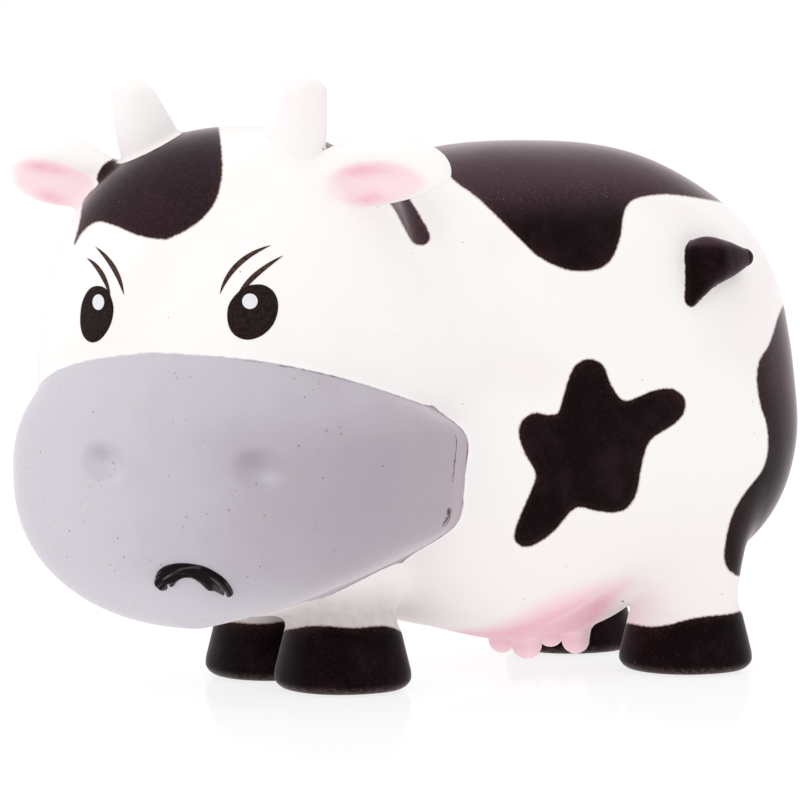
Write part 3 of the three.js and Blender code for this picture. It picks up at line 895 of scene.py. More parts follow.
def dust_and_sheen_share(points, out, distances):
    """How thick a pale film lies on each point, part dust and part painted sheen where the black faces up,
    faces backwards on the rump and faces the camera on the neck stripe: most on the back, less on the head
    and rump.
    """
    on_head = fade(distances["head"], *OFF_HEAD)
    back = smoothstep(out[:, 2], *BACK_TURN) * (1 - on_head)
    rump = RUMP_DUST_AND_SHEEN * smoothstep(out[:, 1], *RUMP_TURN) * smoothstep(points[:, 2], *RUMP_HEIGHTS)
    stripe = stencil(to_pixels(points), NECK_STRIPE)
    neck = NECK_DUST_AND_SHEEN * smoothstep(-stripe, -1, 0) * smoothstep(out @ BACK, *NECK_TURN)
    return np.max([back, rump, neck, HEAD_DUST_AND_SHEEN * on_head], axis=0)


def blot(across, up, width, height):
    """A soft round spot of 1 at the middle of a plane."""
    return np.exp(-((across / width) ** 2) - (up / height) ** 2)


def pink_share(points, distances):
    """How much airbrushed pink lies on each point: the ears' dishes, the udder and its teats."""
    pink = np.zeros(len(points))
    for side_name, half in EAR_HALVES.items():
        local = in_ear(side_name, points)
        across, up = in_dish(side_name, local)[:, [0, 2]].T
        share = np.hypot(across / (half[0] - DISH_RIMS[side_name]), up / DISH_HEIGHT)
        dish = fade(share, *DISH_FADE)
        rose = 0
        for middle, (strength, height, *size) in zip(ROSE_PLACES[side_name], (ROSE_BAND, ROSE_SPOT)):
            rose = rose + strength * blot(across - middle, up - height, *size)
        front = smoothstep(-local[:, 1], *EAR_FRONT)
        near = fade(distances[f"ear_{side_name}"], *OFF_EAR)
        pink = np.maximum(pink, dish * (DISH_PINK + rose) * front * near)
    # The blush below the left ear's root: partly airbrushed pink, partly painted shade in the crease.
    blush = lengths(to_pixels(points) - np.array(BLUSH_PLACE)) / BLUSH_SIZE
    blush = BLUSH_PINK * np.exp(-(blush**2)) * (distances["head"] < BLUSH_OFF_HEAD)
    pink = np.maximum(pink, blush)
    across, along, height = points.T
    half_across, half_along = BELLY_PINK_HALF
    share = np.hypot(across / half_across, (along - BELLY_PINK_PLACE) / half_along)
    low = fade(height - BELLY_PINK_RISE * along, *BELLY_PINK_HEIGHTS)
    leg = np.min([distances[f"leg_{place}"] for place in LEG_PLACES], axis=0)
    belly = BELLY_PINK * fade(share, *BELLY_PINK_FADE) * low * smoothstep(leg, *BELLY_PINK_OFF_LEG)
    teat = np.min([distances[f"teat_{place}"] for place in TEAT_PLACES], axis=0)
    return np.maximum(pink, belly * (1 - TEAT_PALER * smoothstep(-teat, *TEAT_DEPTHS)))


def muzzle_shade(points):
    """From the muzzle's lighter right side to its darker, rosier left side, partly its own tone and partly
    painted shade, with painted light on its upper and lower sides and painted shade and highlights in the
    nostrils.
    """
    across, _along, up = in_muzzle(points).T
    shade = np.clip((across - SHADE_START) / SHADE_WIDTH, 0, 1)
    upper, *upper_heights = UPPER_PAINTED_LIGHT
    lower, *lower_heights = LOWER_PAINTED_LIGHT
    shade -= upper * shade * smoothstep(up, *upper_heights)
    shade -= lower * smoothstep(-up, *lower_heights)
    for place, axes in NOSTRILS:
        level, rise, _out = ((points - place) @ axes.T).T
        for strength, level_place, rise_place, *size in (NOSTRIL_PAINTED_SHADE, NOSTRIL_PAINTED_HIGHLIGHT):
            shade += strength * blot(level - level_place, rise - rise_place, *size)
    return shade


# Pieces of the skin.
def add_masks(mesh, masks):
    """Named values at a mesh's points, for its material."""
    for name, values in masks.items():
        attribute = mesh.attributes.new(name, "FLOAT", "POINT")
        attribute.data.foreach_set("value", np.asarray(values, np.float32))


def add_mesh(name, points, faces, normals=None, masks=None):
    """A mesh of the cow's frame in mm, as a Blender object in the row's frame."""
    mesh = bpy.data.meshes.new(name)
    mesh.from_pydata(in_metres(points).tolist(), [], [list(face) for face in faces])
    mesh.polygons.foreach_set("use_smooth", [True] * len(mesh.polygons))
    add_masks(mesh, masks or {})
    if normals is not None:
        mesh.normals_split_custom_set_from_vertices(normals.tolist())
    piece = bpy.data.objects.new(name, mesh)
    bpy.context.scene.collection.objects.link(piece)
    return piece


def rims(faces):
    """The edges along a skin's open rims, sorted into one group for each rim."""
    edges = open_edges(faces)
    head = {point: point for edge in edges for point in edge}

    def root(point):
        while head[point] != point:
            head[point] = head[head[point]]
            point = head[point]
        return point

    for a, b in edges:
        head[root(a)] = root(b)
    groups = {}
    for a, b in edges:
        groups.setdefault(root(a), []).append((a, b))
    return list(groups.values())


# How far in under the skin the middle of a piece's cut side lies.
HUB_DEPTH = 0.5


def skin_pieces():
    """The toy's skin, cut where one form meets the next into one closed piece for each form."""
    points, faces = drawn_skin()
    normals = gradient(whole_field, points)
    distances = form_distances(points)
    masks = paint_masks(points, normals, distances)
    names = list(FORMS) + [f"hoof_{place}" for place in LEG_PLACES]
    middles = points[faces].mean(1)
    middle_distances = form_distances(middles)
    owner = np.argmin(np.column_stack([middle_distances[name] for name in FORMS]), axis=1)
    for place in LEG_PLACES:
        leg = owner == names.index(f"leg_{place}")
        owner[leg & (hoof_line(middles) < HOOF_OVERLAP)] = names.index(f"hoof_{place}")
    pieces = {}
    for number, name in enumerate(names):
        own = faces[owner == number]
        kept, renumbered = np.unique(own, return_inverse=True)
        own = renumbered.reshape(-1, 4)
        own_points, own_normals = points[kept], normals[kept]
        own_masks = {mask: values[kept] for mask, values in masks.items()}
        closing = []
        for rim in rims(own):
            loop = [a for a, _b in rim]
            hub = len(own_points)
            middle = own_points[loop].mean(0)
            inward = -own_normals[loop].mean(0)
            own_points = np.vstack((own_points, middle + inward * HUB_DEPTH))
            own_normals = np.vstack((own_normals, -inward))
            for mask, values in own_masks.items():
                own_masks[mask] = np.append(values, values[loop].mean())
            closing += [(b, a, hub) for a, b in rim]
        pieces[name] = add_mesh(
            f"{name}_skin", own_points, own.tolist() + closing, own_normals, own_masks
        )
    return pieces


# Decals: the printed eyes and brows and the painted mouth, laid on the skin from outlines read off
# the photograph, in pixels.
LEFT_EYE = [
    (227.3, 317), (228.5, 306), (233, 298), (239, 291.5), (246, 286.5), (255, 284.6), (264, 285.2),
    (273, 291), (277.7, 301), (277.5, 313), (272.5, 325.5), (262, 335.5), (249, 339.8), (237.5, 337),
    (230, 329),
]
RIGHT_EYE = [
    (80.4, 318), (82, 304), (86, 294), (91, 288), (97, 286), (103, 287), (108, 291), (111.5, 298.5),
    (113.6, 309), (111.5, 322), (106, 333), (99, 340.5), (91, 342.3), (84.5, 337.5), (81.2, 329),
]
LEFT_GLINT = (250, 301.4, 7.7, 7.7)
RIGHT_GLINT = (98.9, 302.3, 5.8, 7.8)
# Brow strokes: three points that each stroke's middle line passes through, and its widest half width.
BROWS = {
    "brow_left_upper": ([(219.8, 294.5), (238, 264.5), (271, 245.3)], 2.7),
    "brow_left_lower": ([(236, 300), (253.5, 277), (283.5, 255.5)], 2.7),
    "brow_right_upper": ([(95.5, 246.8), (113.8, 268), (124, 295)], 2.5),
    "brow_right_lower": ([(87, 258), (101.5, 273.5), (110.5, 297)], 2.4),
}
MOUTH_OUTLINE = [
    (161.2, 590), (154.7, 584.2), (155.4, 577.7), (158, 571.2), (165.1, 566), (175.5, 563.4),
    (188.5, 563.4), (202.8, 566), (213.2, 570.6), (223.6, 577.7), (230.1, 585.5), (233, 591.4),
    (232.1, 595.3), (226.9, 595.9), (225.2, 590.6), (223.6, 595), (220, 593), (214.5, 590.6),
    (208, 589.4), (201.5, 583.6), (195, 579), (188.5, 577.4), (182, 578.4), (176.8, 581.6),
    (173.5, 585.8), (170.4, 586.6), (168.6, 583.6), (167.4, 584.4), (167.6, 588), (165.4, 590),
]
# The middle of the circle that the mouth's arch follows, in the photograph's pixels.
MOUTH_ARCH_MIDDLE = np.array([190, 610])

# How far decals stand off the skin, how much higher the middles of eyes and mouth stand, and how
# far a decal's underside lies in the skin, in mm. The shoulder and the spacing are in pixels.
EYE_THICKNESS = 0.05
EYE_CROWN = 0.05
BROW_THICKNESS = 0.04
MOUTH_THICKNESS = 0.05
MOUTH_CROWN = 0.34
DECAL_ROOT = 0.12
DECAL_SHOULDER = 3.0
DECAL_SPACING = 1.6
# How a brow's stroke tapers: less makes its ends blunter.
STROKE_TAPER = 0.75
# Where the search along a camera's ray starts, in mm before the toy's middle, and the share of the
# distance to the skin that each step takes.
RAY_START = 60.0
RAY_STEP = 0.85


def seen_points(pixels, steps=60):
    """The places on the skin that the photograph's pixels show."""
    rays = view_rays(pixels)
    travelled = np.full(len(rays), DISTANCE - RAY_START)
    for _ in range(steps):
        points = EYE_POINT + rays * travelled[:, None]
        travelled += np.clip(RAY_STEP * whole_field(points), -2, NEARBY)
    return EYE_POINT + rays * travelled[:, None]


def filled_outline(curve):
    """Points inside and along a closed curve, and the triangles between them."""
    low, high = curve.min(0), curve.max(0)
    steps = [np.arange(low[axis], high[axis], DECAL_SPACING) for axis in range(2)]
    across, down = np.meshgrid(*steps, indexing="ij")
    inner = np.column_stack((across.ravel(), down.ravel()))
    inner = inner[outline_distance(inner, curve) < -0.5 * DECAL_SPACING]
    flat = [Vector(point) for point in np.vstack((curve, inner)).tolist()]
    rim = [list(range(len(curve)))]
    points, _edges, triangles, *_rest = delaunay_2d_cdt(flat, [], rim, 1, 1e-4)
    return np.array([tuple(point) for point in points]), np.array(triangles)


def add_decal(name, curve, thickness, crown=0.0):
    """A thin closed layer on the skin over an outline. The crown is how much higher its middle stands."""
    pixels, triangles = filled_outline(curve)
    skin = seen_points(pixels)
    out = gradient(whole_field, skin)
    depth = np.clip(-outline_distance(pixels, curve) / DECAL_SHOULDER, 0, 1)
    height = thickness + crown * np.sqrt(1 - (1 - depth) ** 2)
    top = skin + out * height[:, None]
    bottom = skin - out * DECAL_ROOT
    tops = triangles[:, ::-1] if facing_away(top, triangles) else triangles
    count = len(pixels)
    sides = [(b, a, a + count, b + count) for a, b in open_edges(tops)]
    faces = tops.tolist() + (tops[:, ::-1] + count).tolist() + sides
    piece = add_mesh(name, np.vstack((top, bottom)), faces)
    return piece, np.vstack((pixels, pixels))


def facing_away(points, triangles):
    first, second, third = (points[triangles[:, i]] for i in range(3))
    return (np.cross(second - first, third - first) @ BACK).sum() < 0


def stroke_outline(stops, half_width, count=14):
    """The outline of a stroke that tapers to a point at both ends."""
    start, middle, end = (np.array(stop, float) for stop in stops)
    share = np.linspace(0, 1, count)[:, None]
    bend = 2 * middle - (start + end) / 2
    line = (1 - share) ** 2 * start + 2 * share * (1 - share) * bend + share**2 * end
    along = np.gradient(line, axis=0)
    across = np.column_stack((-along[:, 1], along[:, 0]))
    across /= np.linalg.norm(across, axis=1, keepdims=True)
    width = half_width * np.sin(np.pi * share) ** STROKE_TAPER
    return np.vstack((line + across * width, (line - across * width)[-2:0:-1]))


def add_eye(side_name, corners, glint):
    """An eye, with how far each point lies outside its glint, in mm."""
    curve = outline_curve(corners, 4)
    piece, pixels = add_decal(f"eye_{side_name}_print", curve, EYE_THICKNESS, EYE_CROWN)
    across, down, half_across, half_down = glint
    share = np.hypot((pixels[:, 0] - across) / half_across, (pixels[:, 1] - down) / half_down)
    add_masks(piece.data, {"glint": (share - 1) * half_across * MM_PER_PIXEL})
    return piece


def add_mouth():
    """The mouth, with how far each point lies along and across its arch, in mm."""
    curve = outline_curve(MOUTH_OUTLINE, 3)
    piece, pixels = add_decal("mouth_paint", curve, MOUTH_THICKNESS, MOUTH_CROWN)
    across, down = (pixels - MOUTH_ARCH_MIDDLE).T
    radius = np.hypot(across, down)
    along = np.arctan2(across, -down) * radius.mean()
    add_masks(piece.data, {"across": radius * MM_PER_PIXEL, "along": along * MM_PER_PIXEL})
    return piece


# Materials.
def fill(node, values):
    """Sets a node's plain inputs."""
    for name, value in values.items():
        node.inputs[name].default_value = value


class Nodes:
    """A material's node tree, with short calls to add nodes and join them."""

    def __init__(self, name):
        self.material = bpy.data.materials.new(name)
        self.material.use_nodes = True
        self.tree = self.material.node_tree
        self.shader = self.tree.nodes["Principled BSDF"]

    def add(self, kind):
        return self.tree.nodes.new(kind)

    def join(self, source, target):
        self.tree.links.new(source, target)

    def set(self, socket, value):
        if isinstance(value, bpy.types.NodeSocket):
            self.join(value, socket)
        else:
            socket.default_value = value

    def math(self, operation, first, second=0.0, third=0.0, clamp=False):
        node = self.add("ShaderNodeMath")
        node.operation = operation
        node.use_clamp = clamp
        for socket, value in zip(node.inputs, (first, second, third)):
            self.set(socket, value)
        return node.outputs[0]

    def times(self, *factors):
        product = factors[0]
        for factor in factors[1:]:
            product = self.math("MULTIPLY", product, factor)
        return product

    def mask(self, name):
        node = self.add("ShaderNodeAttribute")
        node.attribute_name = name
        return node.outputs["Fac"]

    def place(self):
        node = self.add("ShaderNodeTexCoord")
        return node.outputs["Object"]

    def noise(self, size, detail=2.0, roughness=0.5):
        """Noise whose blobs are about size mm across."""
        node = self.add("ShaderNodeTexNoise")
        self.join(self.place(), node.inputs["Vector"])
        fill(node, {"Scale": 1 / (size * MM), "Detail": detail, "Roughness": roughness})
        return node.outputs["Fac"]

    def dots(self, size, radius, share):
        """Scattered dots: cells about size mm across, a share of which hold a dot of that radius."""
        node = self.add("ShaderNodeTexVoronoi")
        self.join(self.place(), node.inputs["Vector"])
        fill(node, {"Scale": 1 / (size * MM)})
        separate = self.add("ShaderNodeSeparateColor")
        self.join(node.outputs["Color"], separate.inputs[0])
        chosen = self.math("LESS_THAN", separate.outputs[0], share)
        near = self.ramp(node.outputs["Distance"], radius / size, 0.6 * radius / size)
        return self.times(chosen, near)

    def height(self):
        """The height above the floor in mm."""
        node = self.add("ShaderNodeSeparateXYZ")
        self.join(self.place(), node.inputs[0])
        return self.times(node.outputs["Z"], 1 / MM)

    def wobble(self, value, noise, amount):
        """A value made uneven by noise, by at most half the amount each way."""
        return self.math("MULTIPLY_ADD", self.math("SUBTRACT", noise, 0.5), amount, value)

    def line(self, value, middle, half_width):
        """1 along a line where the value is the middle one, falling to 0 beside it."""
        apart = self.math("ABSOLUTE", self.math("SUBTRACT", value, middle))
        return self.ramp(apart, half_width, 0.4 * half_width)

    def window(self, value, low, high, softness=0.4):
        """1 between two values and 0 beyond them."""
        return self.times(
            self.ramp(value, low, low + softness), self.ramp(value, high, high - softness)
        )

    def ramp(self, value, low, high):
        """0 at low and 1 at high, with smooth ends."""
        node = self.add("ShaderNodeMapRange")
        node.interpolation_type = "SMOOTHSTEP"
        self.set(node.inputs["Value"], value)
        fill(node, {"From Min": min(low, high), "From Max": max(low, high)})
        if low > high:
            fill(node, {"To Min": 1, "To Max": 0})
        return node.outputs["Result"]

    def mix(self, share, first, second):
        node = self.add("ShaderNodeMix")
        node.data_type = "RGBA"
        self.set(node.inputs["Factor"], share)
        self.set(node.inputs[6], colour(first))
        self.set(node.inputs[7], colour(second))
        return node.outputs[2]

    def blend(self, share, first, second):
        """A plain number between two numbers."""
        difference = self.math("SUBTRACT", second, first)
        return self.math("MULTIPLY_ADD", share, difference, first)

    def bump(self, height, strength, distance):
        node = self.add("ShaderNodeBump")
        fill(node, {"Strength": strength, "Distance": distance * MM})
        self.join(height, node.inputs["Height"])
        return node.outputs["Normal"]

    def finish(self, base, roughness, normal, looks):
        """The material with its colour, roughness and slope joined and its plain looks set."""
        for name, socket in (("Base Color", base), ("Roughness", roughness), ("Normal", normal)):
            self.join(socket, self.shader.inputs[name])
        fill(self.shader, looks)
        return self.material


def colour(value):
    return value if isinstance(value, bpy.types.NodeSocket) else (*value, 1.0)


WHITE = (0.97, 0.94, 0.93)
# A warmer, darker white: random tone, and painted shade on the lower foam.
WARM_AND_SHADED_WHITE = (0.945, 0.895, 0.885)
# The muzzle's grey from its lighter right to its darker left, partly its own tone and partly painted shade.
LIGHT_GREY = (0.618, 0.596, 0.648)
DARK_GREY = (0.432, 0.378, 0.428)
LIP_GREY = (0.50, 0.42, 0.455)
GREY_LINE = (0.085, 0.06, 0.085)
PALE_PINK = (0.955, 0.71, 0.77)
DEEP_PINK = (0.88, 0.46, 0.54)
BLACK = (0.0042, 0.0012, 0.0016)
WORN_BLACK = (0.020, 0.007, 0.010)
SCUFF = (0.13, 0.085, 0.085)
# The soles' scuffed brown, lighter as a painted reflection of the floor.
SOLE_SCUFF_AND_REFLECTION = (0.16, 0.10, 0.10)
BROWN_FRINGE = (0.25, 0.12, 0.07)
DUST = (0.45, 0.40, 0.41)
# A mauve film for dust and painted sheen on the black.
DUST_AND_SHEEN_FILM = (0.062, 0.030, 0.041)
# The warm grey of the painted shade on the front legs.
LEG_SHADE_GREY = (0.62, 0.57, 0.55)
PIT = (0.05, 0.035, 0.04)
EYE_BROWNS = ((0.009, 0.0045, 0.004), (0.024, 0.013, 0.011))
BROW_BROWNS = ((0.030, 0.014, 0.011), (0.085, 0.045, 0.034))
FLECK = (0.42, 0.33, 0.30)
GLINT = (0.80, 0.80, 0.84)
MOUTH_BLACK = (0.004, 0.0018, 0.0022)
# The mouth's lighter streaks: a painted reflection.
MOUTH_STREAK_HIGHLIGHT = (0.13, 0.10, 0.115)
SHEEN_TINT = (1.0, 0.90, 0.93, 1)

# How brightly the foam's and the black paint's fine fuzz lights up at grazing angles, and how widely.
FOAM_SHEEN = 0.85
BLACK_SHEEN = 0.3
SHEEN_ROUGHNESS = 0.3
# How much each surface mirrors, and how rough it is from its smoothest to its roughest places.
FOAM_SPECULAR = 0.03
PRINT_SPECULAR = 0.08
MOUTH_SPECULAR = 0.07
FOAM_ROUGHNESS = (0.5, 0.66)
BLACK_ROUGHNESS = (0.36, 0.5)
PRINT_ROUGHNESS = (0.42, 0.55)
MOUTH_ROUGHNESS = (0.18, 0.4)
# Bumps: how strongly each shows and how high it stands, in mm.
FOAM_BUMP = (0.35, 0.12)
PRINT_BUMP = (0.2, 0.03)
MOUTH_BUMP = (0.6, 0.15)
# Heights above the floor between which the foam turns a warmer, darker white, as painted shade towards the
# bottom, in mm.
LOW_SHADE_HEIGHTS = (28, 12)
# How many strokes of the brush lie in a mm across and along the mouth.
STROKES_ACROSS = 2.2
STROKES_ALONG = 0.35

# Where the crack behind the muzzle's left lip and the chips below it run: heights above the floor
# in mm, and how far back they lie in the muzzle's frame.
CRACK_HEIGHTS = (23.9, 29.6)
CHIP_HEIGHTS = (18.9, 21.4)
CRACK_BACK = 1.6
CRACK_WIDTH = 0.11
CHIP_WIDTH = 0.9
# How far to the left the lip, the crack and the chips begin, and the worn line along the upper rim.
LIP_START = (20, 24)
RIM_START = (7, 17)
# The band at the soles, scuffed and lighter with a painted reflection of the floor: heights above the floor
# in mm.
SOLE_BAND = (1.2, 0.3)


def painted_foam(name):
    """White foam under layers of airbrushed pink, grey and black paint, matte but for the black ones."""
    nodes = Nodes(name)
    fine = nodes.noise(0.5, detail=3, roughness=0.65)
    spray = nodes.noise(1.2, detail=4, roughness=0.7)
    mottle = nodes.noise(3.5, detail=3)
    # A warmer white at random, and a warmer, darker white as painted shade on the lower foam.
    low = nodes.ramp(nodes.height(), *LOW_SHADE_HEIGHTS)
    warm_and_shaded = nodes.math("MAXIMUM", nodes.ramp(nodes.noise(14, detail=1), 0.45, 0.75), low)
    base = nodes.mix(warm_and_shaded, WHITE, WARM_AND_SHADED_WHITE)
    # Painted shade: a warm grey on the front legs where the muzzle shadows them.
    painted_leg_shade = nodes.math("MULTIPLY", nodes.mask("painted_leg_shade"), nodes.blend(spray, 0.5, 1.3), clamp=True)
    base = nodes.mix(painted_leg_shade, base, LEG_SHADE_GREY)

    pink = nodes.math("MULTIPLY", nodes.mask("pink"), nodes.blend(spray, 0.8, 1.2), clamp=True)
    pink_colour = nodes.mix(nodes.ramp(pink, 0.4, 1.0), PALE_PINK, DEEP_PINK)
    base = nodes.mix(nodes.ramp(pink, 0.0, 0.5), base, pink_colour)

    grey_edge = nodes.wobble(nodes.mask("grey"), spray, 0.25)
    grey = nodes.ramp(grey_edge, 0.08, -0.08)
    base = nodes.mix(grey, base, grey_paint(nodes, grey_edge, mottle, fine))

    black_edge = nodes.wobble(nodes.mask("black"), fine, 0.3)
    fringe = nodes.times(nodes.ramp(black_edge, 0.24, 0.0), 0.55)
    base = nodes.mix(fringe, base, BROWN_FRINGE)
    black = nodes.ramp(black_edge, 0.10, -0.10)
    base = nodes.mix(black, base, black_paint(nodes, black_edge))

    pits = nodes.dots(1.7, 0.10, 0.14)
    base = nodes.mix(nodes.times(pits, 0.75), base, PIT)

    foam_roughness = nodes.blend(fine, *FOAM_ROUGHNESS)
    roughness = nodes.blend(black, foam_roughness, nodes.blend(mottle, *BLACK_ROUGHNESS))
    height = nodes.math("MULTIPLY_ADD", nodes.noise(3.0, detail=2), 0.8, nodes.times(fine, 0.12))
    height = nodes.math("MULTIPLY_ADD", pits, -0.35, height)
    looks = {
        "Specular IOR Level": FOAM_SPECULAR,
        "Sheen Weight": BLACK_SHEEN if name == "black_paint" else FOAM_SHEEN,
        "Sheen Roughness": SHEEN_ROUGHNESS,
        "Sheen Tint": SHEEN_TINT,
    }
    return nodes.finish(base, roughness, nodes.bump(height, *FOAM_BUMP), looks)


def grey_paint(nodes, grey_edge, mottle, fine):
    """The muzzle's grey: mottled, specked, rosier on its left lip and worn along its left rim."""
    # The shade mask: the grey's darker left side, partly its own tone and partly painted shade, with painted
    # light on its upper and lower sides and painted shade and highlights at the nostrils.
    shade = nodes.math("ADD", nodes.mask("shade"), nodes.blend(mottle, -0.10, 0.10))
    shade = nodes.math("ADD", shade, nodes.blend(nodes.noise(9, detail=2), -0.12, 0.12))
    shade = nodes.math("ADD", shade, nodes.blend(fine, -0.06, 0.06))
    grey = nodes.mix(nodes.ramp(shade, -0.1, 1.1), LIGHT_GREY, DARK_GREY)

    leftward = nodes.mask("leftward")
    backward = nodes.wobble(nodes.mask("backward"), nodes.noise(2.0, detail=4, roughness=0.65), 1.4)
    left_end = nodes.ramp(leftward, *LIP_START)
    lip = nodes.times(left_end, nodes.ramp(backward, 1.1, 2.3))
    grey = nodes.mix(nodes.times(lip, 0.7), grey, LIP_GREY)

    height = nodes.height()
    crack = nodes.line(backward, CRACK_BACK, CRACK_WIDTH)
    crack = nodes.times(crack, nodes.window(height, *CRACK_HEIGHTS), left_end)
    chips = nodes.times(nodes.line(backward, CRACK_BACK, CHIP_WIDTH), nodes.ramp(fine, 0.46, 0.51))
    chips = nodes.times(chips, nodes.window(height, *CHIP_HEIGHTS), left_end)
    rim = nodes.line(nodes.wobble(grey_edge, fine, 0.3), -0.05, 0.17)
    rim = nodes.times(rim, nodes.ramp(leftward, *RIM_START))
    rim = nodes.times(rim, nodes.ramp(nodes.noise(2.2, detail=3), 0.40, 0.58))
    worn = nodes.math("MAXIMUM", nodes.math("MAXIMUM", crack, chips), nodes.times(rim, 0.7))
    grey = nodes.mix(worn, grey, GREY_LINE)

    specks = nodes.dots(1.5, 0.12, 0.35)
    pores = nodes.times(nodes.ramp(nodes.noise(0.5, detail=2), 0.66, 0.74), 0.35)
    pores = nodes.times(pores, nodes.ramp(nodes.noise(6, detail=1), 0.54, 0.66))
    return nodes.mix(nodes.math("MAXIMUM", nodes.times(specks, 0.8), pores), grey, GREY_LINE)


def black_paint(nodes, black_edge):
    """The patches' and hooves' matte black: browner where it is worn, dusty and lighter with painted sheen
    where it faces up, scuffed and lighter with a painted reflection of the floor at the soles.
    """
    worn = nodes.ramp(nodes.noise(5, detail=4, roughness=0.6), 0.45, 0.72)
    black = nodes.mix(nodes.times(worn, 0.7), BLACK, WORN_BLACK)
    specks = nodes.ramp(nodes.noise(0.34, detail=4, roughness=0.75), 0.42, 0.78)
    # A pale film of dust specks and painted sheen, mostly where the black faces up.
    film = nodes.times(nodes.mask("dust_and_sheen"), nodes.blend(specks, 0.8, 2.4))
    black = nodes.mix(film, black, DUST_AND_SHEEN_FILM)
    grain = nodes.ramp(nodes.noise(0.3, detail=3, roughness=0.7), 0.5, 0.8)
    black = nodes.mix(nodes.times(grain, 0.12), black, SCUFF)
    rim = nodes.times(nodes.ramp(black_edge, -0.9, -0.1), nodes.ramp(nodes.noise(0.2), 0.4, 0.7))
    black = nodes.mix(nodes.times(rim, 0.11), black, BROWN_FRINGE)
    scratches = nodes.ramp(nodes.noise(0.45, detail=4, roughness=0.75), 0.42, 0.62)
    # The sole band: scuffs and a painted reflection of the floor.
    sole = nodes.times(nodes.ramp(nodes.height(), *SOLE_BAND), nodes.blend(scratches, 0.05, 0.55))
    black = nodes.mix(sole, black, SOLE_SCUFF_AND_REFLECTION)
    dust = nodes.math("MAXIMUM", nodes.dots(1.3, 0.07, 0.16), nodes.dots(3.2, 0.12, 0.25))
    return nodes.mix(nodes.times(dust, 0.7), black, DUST)


def printed_black(name):
    """The brown-black of the printed eyes and brows, with each eye's pale glint."""
    nodes = Nodes(name)
    grain = nodes.noise(0.35, detail=3)
    is_eye = "eye" in name
    base = nodes.mix(nodes.ramp(grain, 0.3, 0.7), *(EYE_BROWNS if is_eye else BROW_BROWNS))
    base = nodes.mix(nodes.times(nodes.dots(0.8, 0.06, 0.2), 0.8), base, FLECK)
    if is_eye:
        base = nodes.mix(nodes.ramp(nodes.mask("glint"), 0.03, -0.03), base, GLINT)
    roughness = nodes.blend(grain, *PRINT_ROUGHNESS)
    normal = nodes.bump(grain, *PRINT_BUMP)
    return nodes.finish(base, roughness, normal, {"Specular IOR Level": PRINT_SPECULAR})


def brushed_black(name):
    """The mouth's glossy black, with the streaks of the brush running along its stroke, lighter as a painted
    reflection of their gloss.
    """
    nodes = Nodes(name)
    streaks = nodes.add("ShaderNodeTexNoise")
    place = nodes.add("ShaderNodeCombineXYZ")
    nodes.join(nodes.times(nodes.mask("across"), STROKES_ACROSS), place.inputs[0])
    nodes.join(nodes.times(nodes.mask("along"), STROKES_ALONG), place.inputs[1])
    nodes.join(place.outputs[0], streaks.inputs["Vector"])
    fill(streaks, {"Scale": 1, "Detail": 4})
    strokes = streaks.outputs["Fac"]
    # The lighter streaks are a painted reflection on the brushed gloss.
    base = nodes.mix(nodes.ramp(strokes, 0.5, 0.74), MOUTH_BLACK, MOUTH_STREAK_HIGHLIGHT)
    roughness = nodes.blend(strokes, *MOUTH_ROUGHNESS)
    normal = nodes.bump(strokes, *MOUTH_BUMP)
    return nodes.finish(base, roughness, normal, {"Specular IOR Level": MOUTH_SPECULAR})


SLOTS = {node["node"]: node["material_slot"] for node in frame["record"]["subparts"]}


def dress():
    """Adds every piece of the toy and hides the frame's nodes that the pieces replace."""
    skins = {}
    for name, piece in skin_pieces().items():
        slot = SLOTS[name]
        if slot not in skins:
            skins[slot] = painted_foam(slot)
        piece.data.materials.append(skins[slot])
        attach(piece, "root")
        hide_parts(name)

    printed_eye = printed_black("eye_print")
    for side_name, corners, glint in (
        ("left", LEFT_EYE, LEFT_GLINT),
        ("right", RIGHT_EYE, RIGHT_GLINT),
    ):
        piece = add_eye(side_name, corners, glint)
        finish_decal(piece, printed_eye, f"eye_{side_name}")
    printed_brow = printed_black("brow_print")
    for name, (stops, half_width) in BROWS.items():
        piece, _pixels = add_decal(name, stroke_outline(stops, half_width), BROW_THICKNESS)
        finish_decal(piece, printed_brow)
    finish_decal(add_mouth(), brushed_black("mouth_black"), "mouth")


def finish_decal(piece, material, *nodes):
    piece.data.materials.append(material)
    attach(piece, "root")
    if nodes:
        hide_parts(*nodes)


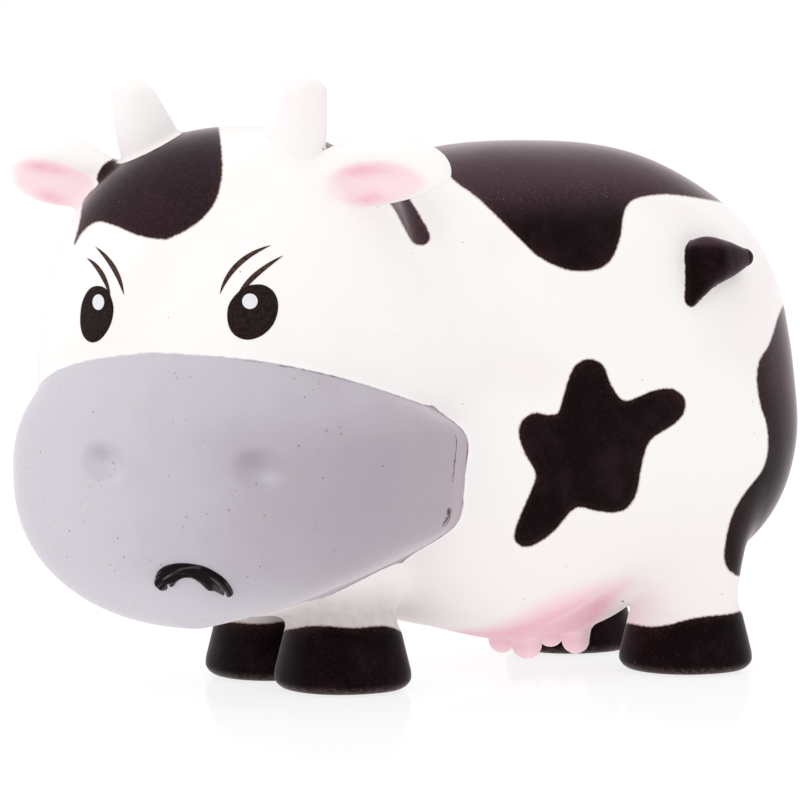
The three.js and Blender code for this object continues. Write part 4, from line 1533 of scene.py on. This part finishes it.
# The studio: places and sizes in metres, power in watts.
LIGHTS = {
    "overhead": ((-0.05, -0.2, 0.75), 0.7, 0.8),
    "left": ((-0.1, -0.85, 0.35), 0.5, 0.42),
}
LIGHT_TARGET = Vector((0, 0, 0.03))
FLOOR_SIZE = 20
FLOOR_DROP = 0.0001
FLOOR_LOOKS = {
    "Base Color": (0.2, 0.2, 0.2, 1),
    "Roughness": 0.6,
    "Specular IOR Level": 0,
    "Emission Color": (1, 1, 1, 1),
    "Emission Strength": 0.88,
}
GLOSS_SHARE = 0.10
GLOSS_ROUGHNESS = 0.12
# How bright the sky is to the camera and in reflections, and as a light.
SKY_SEEN = 1.0
SKY_LIGHT = 0.93


def add_area_light(name, place, size, power):
    light = bpy.data.lights.new(name, "AREA")
    light.shape = "DISK"
    light.size = size
    light.energy = power
    lamp = bpy.data.objects.new(name, light)
    lamp.location = Vector(place)
    lamp.rotation_euler = (LIGHT_TARGET - lamp.location).to_track_quat("-Z", "Y").to_euler()
    bpy.context.scene.collection.objects.link(lamp)


def add_floor():
    """A pale floor that glows a little, as one lit from below does, with a faint gloss."""
    bpy.ops.mesh.primitive_plane_add(size=FLOOR_SIZE, location=(0, 0, -FLOOR_DROP))
    floor = bpy.context.object
    floor.name = "floor"
    nodes = Nodes("white_floor")
    fill(nodes.shader, FLOOR_LOOKS)
    gloss = nodes.add("ShaderNodeBsdfGlossy")
    fill(gloss, {"Roughness": GLOSS_ROUGHNESS})
    mixed = nodes.add("ShaderNodeMixShader")
    fill(mixed, {"Fac": GLOSS_SHARE})
    nodes.join(nodes.shader.outputs[0], mixed.inputs[1])
    nodes.join(gloss.outputs[0], mixed.inputs[2])
    nodes.join(mixed.outputs[0], nodes.tree.nodes["Material Output"].inputs["Surface"])
    floor.data.materials.append(nodes.material)


def add_sky():
    """White to the camera and in reflections, and a softer white as a light."""
    world = bpy.data.worlds.new("studio")
    world.use_nodes = True
    tree = world.node_tree
    background = tree.nodes["Background"]
    fill(background, {"Color": (1, 1, 1, 1)})
    path = tree.nodes.new("ShaderNodeLightPath")
    strength = tree.nodes.new("ShaderNodeMapRange")
    fill(strength, {"To Min": SKY_SEEN, "To Max": SKY_LIGHT})
    tree.links.new(path.outputs["Is Diffuse Ray"], strength.inputs["Value"])
    tree.links.new(strength.outputs["Result"], background.inputs["Strength"])
    bpy.context.scene.world = world


dress()
add_floor()
add_sky()
for name, settings in LIGHTS.items():
    add_area_light(name, *settings)
add_camera()
bpy.context.scene.view_settings.view_transform = "Standard"
